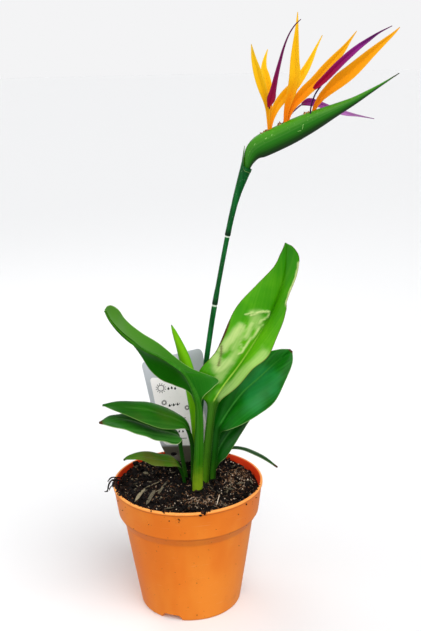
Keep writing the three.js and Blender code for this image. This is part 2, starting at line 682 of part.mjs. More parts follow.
const FLOWERS = {
  flower_1: {
    sepals: [
      { face: [-0.2, -1, 0.1], fold: 18, rows: [
        [74, 24, 402.5, 1.6], [73.6, 22.5, 415, 1.7], [72.7, 19, 427.5, 2.4], [68, 16, 442.5, 3.7],
        [64.5, 14, 453.5, 3.5], [61.5, 12, 464, 2.1], [59.5, 10, 474.5, 0.4]] },
      { face: [0, -1, 0.2], fold: 18, rows: [
        [74.5, 25, 402.5, 1.5], [75.5, 28, 420, 1.8], [75, 31, 437, 3.4], [73, 33, 448.5, 3.6],
        [71.5, 34, 456, 2.6], [72.5, 35, 463.5, 1.4], [74.8, 36, 470.8, 0.4]] },
      { face: [0.2, -1, 0.3], fold: 18, rows: [
        [74.8, 24, 402.5, 1.6], [76.5, 24.5, 414.5, 2.2], [80.2, 25, 425, 3.4], [86.8, 26.5, 433.5, 4.2],
        [95.5, 29, 441.8, 4.1], [103.4, 31, 452.1, 3.4], [108.9, 33, 461.2, 2.4], [114, 34, 471.5, 1.1],
        [119, 35, 480.8, 0.4]] },
    ],
    claw: [[74.8, 21.8, 403], [74.6, 20.8, 414], [73.8, 16.6, 423.5], [74, 13.7, 430], [75.2, 12.8, 434]],
    arrow: { face: [-0.1, -1, 0], fold: 24, rows: [
      [73, 13, 426, 0.9], [75, 12, 432.4, 3.6], [76.7, 11, 439.6, 2.7], [78.8, 9.5, 449.5, 2],
      [81.7, 8.5, 461, 1.4], [84.8, 7, 472, 0.9], [88.6, 6, 481.2, 0.6], [93, 5.5, 487.8, 0.5],
      [97.7, 5, 492.2, 0.4]] },
  },
  flower_2: {
    sepals: [
      { face: [-0.1, -1, 0], fold: 20, rows: [
        [86.5, 24, 408.5, 1.8], [89, 22, 425, 3], [92.4, 20, 437.4, 3.9], [94.6, 18, 448.4, 4.9],
        [94.5, 17, 461.5, 3.9], [95, 16, 473, 2.8], [95.6, 15, 483, 1.7], [96.4, 15, 498, 0.4]] },
      { face: [0.1, -1, 0.2], fold: 20, rows: [
        [87.5, 24, 408.5, 1.8], [91.4, 24, 423.2, 3.7], [102, 23, 435.7, 4.7], [111.7, 22, 444.8, 4.9],
        [119, 21, 453.5, 4.5], [126.7, 20, 462, 3.7], [133, 19, 469, 2.6], [138.2, 18, 476, 1.2],
        [143.6, 18, 483, 0.4]] },
    ],
    claw: [
      [89.8, 26.4, 408], [90.4, 27.6, 415], [94, 31.4, 420],
      [98.5, 35, 423.6], [103, 38, 426.4], [108, 40.2, 427.8]],
    arrow: { face: [0, -1, 0.35], fold: 18, rows: [
      [103, 38.5, 426.6, 1.2], [108.8, 39.5, 428, 3.5], [115, 40.5, 427, 3.1], [123, 41.5, 424.2, 2.7],
      [132.5, 42, 420.3, 2.4], [141.5, 43, 417.9, 2], [149, 43, 416.5, 1.1], [156.5, 43, 415, 0.6],
      [164.6, 43, 413.3, 0.4]] },
  },
  flower_3: {
    sepals: [
      { face: [0.1, -1, 0.2], fold: 20, rows: [
        [109.6, 24, 415, 1.7], [111.6, 24, 424, 2], [116, 21.5, 431.8, 3], [121.8, 19, 438, 4.3],
        [130.5, 17.5, 445.5, 5.8], [137.9, 16, 451.2, 5.8], [146.3, 15, 458.5, 5], [154, 14, 465.5, 3.9],
        [162.8, 13, 473, 2.6], [171.8, 12, 480.6, 1.2], [176.4, 12, 485, 0.4]] },
    ],
    claw: [
      [108.4, 21.6, 416], [107.7, 19.9, 422.6], [109, 16, 430.8],
      [111.2, 12.5, 436.8], [114.2, 9.6, 441.5], [116.4, 8.2, 445]],
    arrow: { face: [0.2, -1, 0.3], fold: 24, rows: [
      [108.6, 9, 439.6, 1.3], [111.2, 8.6, 442, 2.4], [117, 8, 447.2, 3.1], [124.3, 7, 454.5, 3.3],
      [131, 6.5, 460.8, 3.1], [137, 6, 466, 2.9], [143.2, 6, 470.8, 2.4], [150.6, 6, 475.8, 1.7],
      [159, 6, 481.1, 0.8], [169, 6, 485.9, 0.4]] },
  },
};

// Plant label: a plate that leans left and narrows to a foot pushed in the soil, with one hole

function labelOutline(margin) {
  const outline = new THREE.Shape();
  outline.moveTo(-13.5 - margin, 88 - margin);
  outline.lineTo(-1.5 + margin, 88 - margin);
  outline.lineTo(-1 + margin, 103);
  outline.quadraticCurveTo(1, 108, 12, 115);
  outline.quadraticCurveTo(22, 121, 23, 130);
  outline.lineTo(21, 160);
  outline.lineTo(17, 208);
  outline.quadraticCurveTo(16, 215.5, 11, 214.5);
  outline.lineTo(-34, 205);
  outline.quadraticCurveTo(-38.5, 204, -38.2, 200);
  outline.lineTo(-34, 177.5);
  outline.lineTo(-25.5, 131);
  outline.quadraticCurveTo(-24, 124, -20.5, 118);
  outline.lineTo(-14.5 - margin, 103);
  outline.closePath();
  return outline;
}

function labelGeometry(grow) {
  const outline = labelOutline(grow);
  if (grow === 0) {
    const hole = new THREE.Path();
    const { x, z, halfWidth, halfHeight } = LABEL_HOLE;
    hole.absellipse(x, z, halfWidth, halfHeight, 0, 2 * Math.PI);
    outline.holes.push(hole);
  }
  const depth = LABEL_THICKNESS + 2 * grow;
  return new THREE.ExtrudeGeometry(outline, { depth, bevelEnabled: false, curveSegments: 4 })
    .translate(0, -LABEL_FOOT_Z, -depth / 2)
    .rotateX(Math.PI / 2 - THREE.MathUtils.degToRad(LABEL_LEAN))
    .translate(0, LABEL_FOOT_Y, LABEL_FOOT_Z);
}

// Assembly

const plant = new THREE.Group();

function addPiece(name, geometry, finish) {
  const { color, roughness } = FINISH[finish];
  const material = new THREE.MeshStandardMaterial({ color, roughness, metalness: 0 });
  const mesh = new THREE.Mesh(geometry, material);
  mesh.name = name;
  plant.add(mesh);
}

addPiece('pot', potGeometry(), 'pot');

const stemHoles = [
  ...Object.values(LEAVES).map(({ rows, bulge }) => blade(rows.slice(0, 3), { bulge, steps: 1, grow: GAP })),
  roundBody(SPEAR_ROWS.slice(0, 3), { steps: 1, grow: FACET_GAP }),
  stalkGeometry({ grow: GAP }),
];
addPiece('soil', soilGeometry([...stemHoles, labelGeometry(GAP)]), 'soil');

for (const [name, { rows, bulge, finish }] of Object.entries(LEAVES)) {
  addPiece(name, blade(rows, { bulge }), finish);
}
addPiece('leaf_rolled', roundBody(SPEAR_ROWS, { lap: SPEAR_LAP }), 'leafYoung');
addPiece('plant_label', labelGeometry(0), 'label');
addPiece('flower_stalk', stalkGeometry(), 'stalk');

const petalGeometry = ({ rows, face, fold }, options) => petal(rows, face, fold, options);
const clawGeometry = (points, grow) => {
  const rows = points.map((point) => [point, CLAW_RADIUS]);
  return roundBody(rows, { sides: CLAW_SIDES, steps: 1, grow });
};

const footHoles = Object.values(FLOWERS).flatMap(({ sepals, claw }) => [
  ...sepals.map((sepal) => petalGeometry({ ...sepal, rows: sepal.rows.slice(0, 3) }, { grow: GAP })),
  clawGeometry(claw, GAP),
]);
addPiece('spathe', cut(spatheGeometry(), footHoles), 'spathe');

for (const [name, { sepals, arrow, claw }] of Object.entries(FLOWERS)) {
  const arrowGeometry = (grow) => join([petalGeometry(arrow, { grow }), clawGeometry(claw, grow)]);
  const sepalsGeometry = join(sepals.map((sepal) => petalGeometry(sepal)));
  addPiece(`${name}_sepals`, cut(sepalsGeometry, [arrowGeometry(GAP)]), 'sepal');
  addPiece(`${name}_arrow`, arrowGeometry(0), 'arrow');
}

export default plant;
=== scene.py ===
"""A bird of paradise in flower, in its nursery pot: the finished surfaces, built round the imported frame."""

import logging
import math
from dataclasses import dataclass
from enum import Enum
from random import Random
from typing import Callable, Iterable, Sequence, Union

import bmesh
import bpy
from bmesh.types import BMesh, BMFace, BMVert
from bpy.types import Material, Mesh, Object
from mathutils import Euler, Matrix, Vector, noise


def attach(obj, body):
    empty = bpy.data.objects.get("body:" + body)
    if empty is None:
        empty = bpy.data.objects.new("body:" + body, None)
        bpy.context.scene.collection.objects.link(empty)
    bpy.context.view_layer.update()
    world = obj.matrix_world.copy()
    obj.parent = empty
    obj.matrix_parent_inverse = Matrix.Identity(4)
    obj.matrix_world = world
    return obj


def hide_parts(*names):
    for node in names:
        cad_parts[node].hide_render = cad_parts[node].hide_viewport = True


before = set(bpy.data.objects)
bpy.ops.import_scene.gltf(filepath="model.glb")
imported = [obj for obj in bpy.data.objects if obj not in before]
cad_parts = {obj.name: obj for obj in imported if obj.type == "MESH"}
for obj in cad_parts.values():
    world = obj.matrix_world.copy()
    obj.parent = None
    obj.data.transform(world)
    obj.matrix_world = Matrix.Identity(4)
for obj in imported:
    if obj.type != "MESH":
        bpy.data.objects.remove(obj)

log = logging.getLogger("bird_of_paradise")

BODY = "root"
MM = 0.001
FULL_TURN = 2 * math.pi
MERGE_GAP = 1e-6
FINE_STEPS = 400
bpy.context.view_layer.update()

Colour = tuple[int, int, int]
Stops = Sequence[tuple[float, Colour]]
Pair = tuple[float, float]
Point = tuple[float, float, float]
Traits = dict[str, float]
Placed = tuple[Vector, Traits]
Spot = tuple[Vector, float, float, Traits]
Value = Union["Socket", float]
Shade = Union["Socket", Colour]
Maker = Callable[[BMesh, int], None]


# Small helpers

def paint(colour: Colour) -> tuple[float, ...]:
    """Turns an 8-bit display colour into the linear colour, with its alpha, that a shader takes."""
    shares = [level / 255 for level in colour]
    return *[share / 12.92 if share <= 0.04045 else ((share + 0.055) / 1.055) ** 2.4 for share in shares], 1.0


def smoothstep(low: float, high: float, value: float) -> float:
    """Rises smoothly from 0 at low to 1 at high."""
    share = min(max((value - low) / (high - low), 0), 1)
    return share * share * (3 - 2 * share)


def blend(a: float, b: float, share: float) -> float:
    """Mixes two numbers."""
    return a + (b - a) * share


def vec(point: Sequence[float]) -> Vector:
    """Turns a point in millimetres into a vector in metres."""
    return Vector(point) * MM


def polar(radius: float, turn: float) -> Pair:
    """Turns a radius and an angle in radians into X and Y."""
    return radius * math.cos(turn), radius * math.sin(turn)


def evenly(count: int) -> list[float]:
    """Shares the way from 0 to 1 out into equal steps."""
    return [step / count for step in range(count + 1)]


def angles(sides: int) -> list[float]:
    """Shares a full turn out into equal angles."""
    return [side / sides * FULL_TURN for side in range(sides)]


def square_to(along: Vector) -> tuple[Vector, Vector]:
    """Gives two directions square to the direction of travel."""
    across = Vector((0, 1, 0)).cross(along).normalized()
    return across, along.cross(across)


class Spline:
    """A smooth curve through points, which share it out evenly from 0 to 1."""

    def __init__(self, points: Iterable[Vector]) -> None:
        """Keeps the points, with a mirrored one past each end."""
        inner = [point.copy() for point in points]
        self.points = [inner[0] * 2 - inner[1], *inner, inner[-1] * 2 - inner[-2]]

    @classmethod
    def of(cls, rows: Iterable[Sequence], item: int) -> "Spline":
        """Runs through one item of each row: a point, or a number as a length along X, in millimetres."""
        items = [row[item] for row in rows]
        return cls(vec(value if isinstance(value, tuple) else (value, 0, 0)) for value in items)

    def at(self, share: float) -> Vector:
        """Finds a point of the curve.

        Args:
            share: From 0 at the first point to 1 at the last.

        Returns:
            The point there.
        """
        spans = len(self.points) - 3
        place = min(max(share, 0), 1) * spans
        index = min(int(place), spans - 1)
        t = place - index
        before, a, b, after = self.points[index:index + 4]
        slope_a, slope_b = (b - before) * 0.5, (after - a) * 0.5
        curve = (a - b) * 2 + slope_a + slope_b
        lift = (b - a) * 3 - slope_a * 2 - slope_b
        return a + slope_a * t + lift * t ** 2 + curve * t ** 3

    def along(self, share: float, step: float = 0.0005) -> Vector:
        """Gives the direction of travel at a share of the curve."""
        return (self.at(share + step) - self.at(share - step)).normalized()


# Shader maths

def operator(kind: str, reflected: bool = False) -> Callable[..., "Socket"]:
    """Makes a Math node's operator, and reflected puts the socket that it is called on second."""
    return lambda *terms: terms[0].graph.math(kind, *(reversed(terms) if reflected else terms))


class Socket:
    """A node's output, so that shader maths is written as an expression."""

    __add__ = __radd__ = operator("ADD")
    __sub__, __rsub__ = operator("SUBTRACT"), operator("SUBTRACT", True)
    __mul__ = __rmul__ = operator("MULTIPLY")
    __pow__, __abs__ = operator("POWER"), operator("ABSOLUTE")
    most, least = operator("MAXIMUM"), operator("MINIMUM")

    def __init__(self, graph: "Graph", output: bpy.types.NodeSocket) -> None:
        """Keeps the output and the graph that it belongs to."""
        self.graph, self.output = graph, output

    def clamped(self) -> "Socket":
        """Keeps to the range from 0 to 1."""
        return self.most(0).least(1)

    def rise(self, low: float, high: float) -> "Socket":
        """Rises smoothly from 0 where this is low to 1 where it is high."""
        settings = {"interpolation_type": "SMOOTHSTEP"}
        return self.graph.out("MapRange", settings, {0: self, 1: low, 2: high, 3: 0, 4: 1.0})


class Graph:
    """A material, or the world, and its nodes."""

    def __init__(self, name: str, owners: bpy.types.bpy_prop_collection | None = None) -> None:
        """Starts it empty, as a material unless it is given other owners of nodes.

        Args:
            name: The material's or the world's name.
            owners: Where it is made, if it is no material.
        """
        self.owner = (bpy.data.materials if owners is None else owners).new(name)
        self.owner.use_nodes = True
        self.tree = self.owner.node_tree
        self.tree.nodes.clear()

    def node(self, kind: str, settings: dict, sockets: dict) -> bpy.types.Node:
        """Adds a node of any type.

        Args:
            kind: The node's type, without the ShaderNode that all begin with.
            settings: Its properties, and a ramp's stops under "stops".
            sockets: A value or a link for each input, by name or number.

        Returns:
            The node.
        """
        made = self.tree.nodes.new("ShaderNode" + kind)
        for name, value in settings.items():
            if name == "stops":
                elements = made.color_ramp.elements
                while len(elements) < len(value):
                    elements.new(1)
                for element, (place, colour) in zip(elements, value):
                    element.position, element.color = place, paint(colour)
            else:
                setattr(made, name, value)
        for name, value in sockets.items():
            if isinstance(value, Socket):
                self.tree.links.new(value.output, made.inputs[name])
            else:
                made.inputs[name].default_value = value
        return made

    def out(self, kind: str, settings: dict, sockets: dict, output: int | str = 0) -> Socket:
        """Adds a node and gives one of its outputs."""
        return Socket(self, self.node(kind, settings, sockets).outputs[output])

    def math(self, operation: str, *values: Value) -> Socket:
        """Adds a Math node."""
        return self.out("Math", {"operation": operation}, dict(enumerate(values)))

    def traits(self, *names: str) -> list[Socket]:
        """Reads numbers that the mesh holds at each point."""
        return [self.out("Attribute", {"attribute_name": name}, {}, "Fac") for name in names]

    def place(self, kind: str = "Object") -> Socket:
        """Gives the point's own place on the object."""
        return self.out("TexCoord", {}, {}, kind)

    def axes(self, kind: str = "Object") -> list[Socket]:
        """Gives the point's place as three numbers."""
        split = self.node("SeparateXYZ", {}, {0: self.place(kind)})
        return [Socket(self, output) for output in split.outputs]

    def stretched(self, x: float, y: float, z: float) -> Socket:
        """Gives the point's place, scaled along each axis."""
        return self.out("Mapping", {}, {"Vector": self.place(), "Scale": (x, y, z)})

    def grain(self, scale: float, detail: float = 3, at: Socket | None = None, rough: float = 0.5) -> Socket:
        """Gives soft noise in three dimensions, from 0 to 1."""
        sockets = {"Vector": at or self.place(), "Scale": scale, "Detail": detail, "Roughness": rough}
        return self.out("TexNoise", {}, sockets)

    def stripes(self, along: Socket, scale: float, detail: float = 1) -> Socket:
        """Gives noise that varies with one number only, from 0 to 1."""
        return self.out("TexNoise", {"noise_dimensions": "1D"}, {"W": along, "Scale": scale, "Detail": detail})

    def layers(self, base: Shade, *coats: tuple[Value, Shade]) -> Socket:
        """Lays colours over each other.

        Args:
            base: The lowest colour.
            coats: How much of each next colour shows, and the colour.

        Returns:
            The colour that shows.
        """
        for share, colour in coats:
            shades = [shade if isinstance(shade, Socket) else paint(shade) for shade in (base, colour)]
            base = self.out("Mix", {"data_type": "RGBA"}, {0: share, 6: shades[0], 7: shades[1]}, 2)
        return base

    def ramp(self, share: Socket, stops: Stops) -> Socket:
        """Turns a number into a colour by a list of stops."""
        return self.out("ValToRGB", {"stops": stops}, {0: share})

    def relief(self, height: Socket, depth: float, under: Socket | None = None) -> Socket:
        """Turns a height from 0 to 1 into a bumped normal, depth metres deep, over another if there is one."""
        sockets = {"Height": height, "Distance": depth, "Strength": 1.0}
        return self.out("Bump", {}, sockets | ({"Normal": under} if under else {}))

    def finish(self, colour: Shade, rough: Value, normal: Socket, specular: float = 0.5,
               coat: Point = (0, 0.03, 1.5)) -> Material:
        """Ends the material in one Principled shader.

        Args:
            colour: Its base colour.
            rough: Its roughness.
            normal: Its bumped normal.
            specular: Its specular level.
            coat: Its coat's weight, roughness and index of refraction.

        Returns:
            The material.
        """
        sockets = {"Base Color": colour, "Roughness": rough, "Normal": normal, "Specular IOR Level": specular,
                   "Coat Weight": coat[0], "Coat Roughness": coat[1], "Coat IOR": coat[2]}
        self.node("OutputMaterial", {}, {"Surface": self.out("BsdfPrincipled", {}, sockets)})
        return self.owner


# Finishes

@dataclass(frozen=True)
class LeafSkin:
    """Waxy leaf: pale midrib and margin, fine side veins, and a stem that pales at the soil. Its stem's sides are
    darker as painted shade, a painted sheen lies where marks place it, and one skin paints its underside's far half
    lighter as a painted highlight.
    """

    name: str
    upper: Colour
    fresh: Colour
    under: Colour
    rib: Colour
    stem: Colour
    stem_foot: Colour = (60, 110, 20)
    margin: Colour = (190, 214, 140)
    # Colour of the painted shade on the stem's sides.
    stem_side_shade: Colour = (18, 66, 6)
    blush: Colour = (110, 74, 40)
    blush_share: float = 0.0
    dry: Colour = (74, 44, 20)
    pale: Colour = (212, 228, 150)
    # Colour of the painted sheen, a bluish reflection of light.
    bloom: Colour = (60, 160, 120)
    rib_share: float = 0.6
    rib_end: float = 0.9
    vein_share: float = 0.16
    stripe_share: float = 0.3
    roughness: float = 0.28
    gloss: float = 0.06
    edge_share: float = 0.5
    tip: Colour = (20, 90, 4)
    tip_share: float = 0.0
    # far and its share paint the underside's far half lighter, a painted highlight where light falls from above.
    far: Colour = (84, 144, 44)
    far_highlight_share: float = 0.0
    foot_rise: Pair = (0.104, 0.142)
    vein_scales: Pair = (1000, 170)
    shine: float = 0.09
    pores: float = 0.00002
    ridges: float = 0.00007

    def material(self) -> Material:
        """Makes the material from the leaf's traits.

        Returns:
            The material.
        """
        g = Graph(self.name)
        across, along, edge, vein, reach = g.traits("across", "along", "edge", "vein", "reach")
        stem, damage, under, bloom, pale = g.traits("stem", "damage", "under", "bloom", "pale")
        patches = g.grain(24, 4)
        lines, broad = (g.stripes(vein, scale, 2) for scale in self.vein_scales)
        blade = 1 - stem

        mottle = (patches * (1 - self.stripe_share) + broad * self.stripe_share).rise(0.34, 0.7)
        veins = (lines.rise(0.4, 0.7) * 0.5 + broad.rise(0.4, 0.75)) * blade * self.vein_share
        # Painted highlight: the far half of the underside, which faces up, is painted lighter.
        far_highlight_mask = (across * -5.0 + 0.2).most(along.rise(0.85, 0.95)).clamped() * along.rise(0.38, 0.8)
        back = g.layers(self.under, (lines.rise(0.3, 0.7) * 0.12, self.rib), (far_highlight_mask * self.far_highlight_share, self.far))
        sheen = g.stripes(vein, 90, 1).rise(0.2, 0.8) * 0.3 + 0.6
        streaks = g.stripes(across, 9, 3).rise(0.25, 0.65) * 0.3 + 0.7
        rib_line = (1 - reach.rise(0.0004, 0.0012)) * blade * (1 - along.rise(self.rib_end - 0.2, self.rib_end))
        # One layer is a painted sheen: a bluish reflection of light painted on the blade.
        colour = g.layers(
            self.upper, (mottle, self.fresh), (veins, self.rib), (along.rise(0.55, 0.95) * self.tip_share, self.tip),
            (under, back), (bloom * sheen, self.bloom), (pale * streaks, self.pale),
            (rib_line * self.rib_share, self.rib))
        if self.blush_share:
            blush = g.grain(45, 3).rise(0.42, 0.7) * self.blush_share * blade
            colour = g.layers(colour, (blush, self.blush))
        foot = 1 - (g.axes()[2] + g.grain(240, 2) * 0.016).rise(*self.foot_rise)
        fibres = g.stripes(across, 14, 2).rise(0.3, 0.7)
        # Painted shade: the stem's sides are darker than its middle, as on a lit round stem.
        stalk = g.layers(self.stem, (fibres * 0.16, self.rib), (foot * 0.8, self.stem_foot),
                         (abs(across).rise(0.25, 0.95) * 0.6, self.stem_side_shade))
        pale_edge = (1 - edge.rise(0.0002, 0.0007)) * blade
        spots = damage * (0.35 + g.grain(300, 3)).rise(0.5, 0.85)
        colour = g.layers(colour, (stem, stalk), (pale_edge * self.edge_share, self.margin),
                          ((spots + damage.rise(0.6, 1)).least(1), self.dry))

        dull = (patches * 0.12 + lines * 0.06 + damage * 0.4 + self.roughness).least(0.95)
        fine = g.relief(g.grain(1500, 2), self.pores)
        ridges = (lines * 0.2 + broad * self.stripe_share * 2) * blade + fibres * stem
        return g.finish(colour, dull, g.relief(ridges, self.ridges, fine), self.shine, (self.gloss, 0.2, 1.35))


@dataclass(frozen=True)
class PetalSkin:
    """Petal: coloured from foot to tip, with fine lengthwise lines and a withered point."""

    name: str
    stops: Stops
    margin: Colour
    line: Colour
    glow: Colour = (255, 200, 16)
    margin_share: float = 0.4
    roughness: float = 0.42
    shine: float = 0.1
    ridges: float = 0.00003

    def material(self) -> Material:
        """Makes the material from the petal's traits.

        Returns:
            The material.
        """
        g = Graph(self.name)
        across, along, edge, gold = g.traits("across", "along", "edge", "gold")
        patches, lines = g.grain(90, 3), g.stripes(across, 11, 3)
        near_edge = (1 - edge.rise(0, 0.0013)) * self.margin_share
        colour = g.layers(
            g.ramp((along + (patches - 0.5) * 0.1).clamped(), self.stops), (gold * along.rise(0.12, 0.5), self.glow),
            (lines.rise(0.45, 0.75) * 0.16, self.line), (near_edge * along.rise(0.05, 0.3), self.margin),
            ((1 - edge.rise(0, 0.0002)) * 0.45, self.line))
        return g.finish(colour, patches * 0.15 + self.roughness, g.relief(lines, self.ridges), self.shine)


@dataclass(frozen=True)
class StalkSkin:
    """Flower stalk: bluish green, with dark joints, pale rings and a painted highlight along the sheath's lip."""

    name: str = "stalk_skin"
    green: Colour = (0, 70, 22)
    light: Colour = (8, 100, 38)
    joint: Colour = (4, 46, 18)
    ring: Colour = (206, 222, 200)
    foot: Colour = (86, 134, 40)
    # Colour of the painted highlight along the sheath's lip.
    lip: Colour = (130, 160, 90)
    roughness: float = 0.3
    shine: float = 0.12
    ridges: float = 0.00015

    def material(self) -> Material:
        """Makes the material from the stalk's traits.

        Returns:
            The material.
        """
        g = Graph(self.name)
        joint, ring, lip = g.traits("joint", "ring", "lip")
        streaks = g.grain(420, 3, g.stretched(1, 1, 0.05))
        # The last layer is a painted highlight along the sheath's lip.
        colour = g.layers(
            self.green, (streaks.rise(0.3, 0.7), self.light), (g.grain(700, 2).rise(0.62, 0.7) * 0.1, self.ring),
            ((1 - g.axes()[2].rise(0.1, 0.15)) * 0.8, self.foot), (joint, self.joint), (ring, self.ring),
            (lip.rise(0.55, 1) * 0.75, self.lip))
        return g.finish(colour, streaks * 0.15 + self.roughness, g.relief(streaks, self.ridges), self.shine)


@dataclass(frozen=True)
class SpatheSkin:
    """Spathe: green with lengthwise lines and scars; lighter along the top and dark along the keel, partly its own
    colour and partly painted light from above and painted shade beneath.

    Each scar is its middle along X and Z and its length, in metres, and its lean from the vertical.
    """

    name: str = "spathe_skin"
    # top, side and keel run from light on top to dark beneath, partly painted light and shade.
    top: Colour = (66, 140, 12)
    side: Colour = (28, 108, 4)
    keel: Colour = (8, 54, 2)
    slit: Colour = (60, 50, 22)
    tip: Colour = (70, 66, 52)
    scar: Colour = (150, 196, 110)
    roughness: float = 0.3
    shine: float = 0.18
    ridges: float = 0.00022
    coat: Point = (0.1, 0.3, 1.35)
    scars: tuple[tuple[float, float, float, float], ...] = (
        (0.1012, 0.4098, 0.0044, 0.3), (0.0985, 0.4066, 0.003, 1.4), (0.0715, 0.4012, 0.0018, 0.9),
        (0.0762, 0.4038, 0.0016, 0.2), (0.0622, 0.3965, 0.002, 0.7))

    def material(self) -> Material:
        """Makes the material from the spathe's traits.

        Returns:
            The material.
        """
        g = Graph(self.name)
        rise, along, lip, turn = g.traits("rise", "along", "lip", "round")
        lines, patches = g.stripes(turn, 40, 3), g.grain(60, 3)
        # Painted light and shade: the top is lighter and the keel darker, partly the spathe's own colour and partly as
        # light falls from above.
        crown = (rise + patches * 0.3).rise(0.1, 1.05) * (along.rise(0.15, 0.45) * 0.6 + 0.4)
        freckles = g.grain(800, 2).rise(0.66, 0.72) * rise.rise(0, 0.6)
        colour = g.layers(
            self.keel, ((rise + patches * 0.2).rise(-0.7, 0.1), self.side), (crown, self.top),
            (lines.rise(0.4, 0.8) * 0.05, self.scar), (lip, self.slit), (along.rise(0.93, 1), self.tip),
            (freckles * 0.4, self.scar), *[(self.scratch(g, row), self.scar) for row in self.scars])
        bumped = g.relief(lines * 0.6 + patches * 0.4, self.ridges)
        return g.finish(colour, patches * 0.14 + self.roughness, bumped, self.shine, self.coat)

    @staticmethod
    def scratch(g: Graph, row: Sequence[float]) -> Socket:
        """Marks a scar as a short thin line.

        Args:
            g: The material's graph.
            row: The scar's middle along X and Z, its length and its lean.

        Returns:
            1 on the line and 0 off it.
        """
        x, z, length, lean = row
        px, _, pz = g.axes()
        dx, dz = px - x, pz - z
        down = dx * math.sin(lean) + dz * math.cos(lean)
        off = dx * math.cos(lean) - dz * math.sin(lean) + g.grain(500, 1) * 0.0012 - 0.0006
        return (1 - abs(off).rise(0.0001, 0.0003)) * (1 - abs(down).rise(length * 0.42, length * 0.5))


@dataclass(frozen=True)
class PotPlastic:
    """Satin moulded plastic: orange outside, redder inside, with scuffs and a little dirt, a painted highlight on the
    lip, and painted shade under the lip and the collar.
    """

    name: str = "pot_plastic"
    orange: Colour = (246, 140, 42)
    deep: Colour = (238, 122, 28)
    inside: Colour = (255, 66, 20)
    # Colour of the painted highlight on the lip.
    lip: Colour = (255, 180, 96)
    scuff: Colour = (252, 196, 130)
    # Colour of the painted shade under the lip and under the collar.
    lip_and_collar_shade: Colour = (170, 74, 20)
    dirt: Colour = (112, 50, 22)
    lip_bottom: float = 0.1094
    collar_bottom: float = 0.0855
    roughness: float = 0.36
    shine: float = 0.22
    ripple: float = 0.00009

    def material(self) -> Material:
        """Makes the material.

        Returns:
            The material.
        """
        g = Graph(self.name)
        height = g.axes()[2]
        flow = g.grain(60, 3, g.stretched(1, 1, 0.22))
        scuffs = g.grain(700, 3, g.stretched(0.12, 0.12, 1)).rise(0.62, 0.78)
        # Painted shade: a darker band just under the lip's overhang and under the collar's step.
        lip_shade = 1 - abs(height - self.lip_bottom).rise(0.0002, 0.001)
        collar_shade = (1 - abs(height - self.collar_bottom).rise(0.0002, 0.0016)) * 0.8
        # Painted highlight: the top of the lip is painted lighter, as where light falls on it.
        lip_highlight = height.rise(self.lip_bottom + 0.0006, self.lip_bottom + 0.0016)
        smears = g.grain(38, 4).rise(0.62, 0.8) * g.grain(900, 2).rise(0.4, 0.7)
        colour = g.layers(
            self.deep, ((g.grain(14, 3) * 0.6 + flow * 0.4).rise(0.35, 0.65), self.orange),
            (scuffs * 0.18, self.scuff), (lip_highlight * 0.6, self.lip),
            (lip_shade.most(collar_shade) * (flow.rise(0.3, 0.6) * 0.3 + 0.25), self.lip_and_collar_shade), (smears * 0.4, self.dirt),
            (g.grain(520, 1).rise(0.755, 0.78) * 0.6, self.dirt), (g.traits("inner")[0], self.inside))
        bumped = g.relief(g.grain(1800, 2) * 0.5 + flow * 0.5, self.ripple)
        return g.finish(colour, flow * 0.14 + scuffs * 0.1 + self.roughness, bumped, self.shine)


@dataclass(frozen=True)
class SoilMix:
    """Damp peat: near black, with brown lumps, and paler where a piece's own tint says so."""

    name: str
    scale: float = 260.0
    roughness: float = 0.7
    shine: float = 0.14
    grit: float = 0.0004
    stops: Stops = (
        (0, (4, 2, 1)), (0.3, (17, 10, 8)), (0.5, (72, 40, 24)), (0.72, (156, 116, 80)), (1, (246, 228, 204)))

    def material(self) -> Material:
        """Makes the material.

        Returns:
            The material.
        """
        g = Graph(self.name)
        speckle = g.grain(self.scale, 4, rough=0.65)
        shade = (g.traits("tint")[0] + (speckle - 0.5) * 0.5).clamped()
        bumped = g.relief(g.grain(self.scale * 4, 4, rough=0.7), self.grit)
        return g.finish(g.ramp(shade, self.stops), self.roughness - speckle * 0.15, bumped, self.shine)


@dataclass(frozen=True)
class Bark:
    """Bark chip: long fibres in greys and browns."""

    name: str = "bark"
    dark: Colour = (26, 18, 12)
    light: Colour = (190, 176, 138)
    roughness: float = 0.85
    fibres: float = 0.0007

    def material(self) -> Material:
        """Makes the material, with its grain along each chip.

        Returns:
            The material.
        """
        g = Graph(self.name)
        across, tint = g.traits("across", "tint")
        grain = g.stripes(across + tint * 7, 7, 4)
        share = (tint * 0.7 + grain.rise(0.35, 0.7) * 0.8 - 0.45).clamped()
        colour = g.layers(self.dark, (share, self.light))
        return g.finish(colour, self.roughness - grain * 0.2, g.relief(grain, self.fibres))


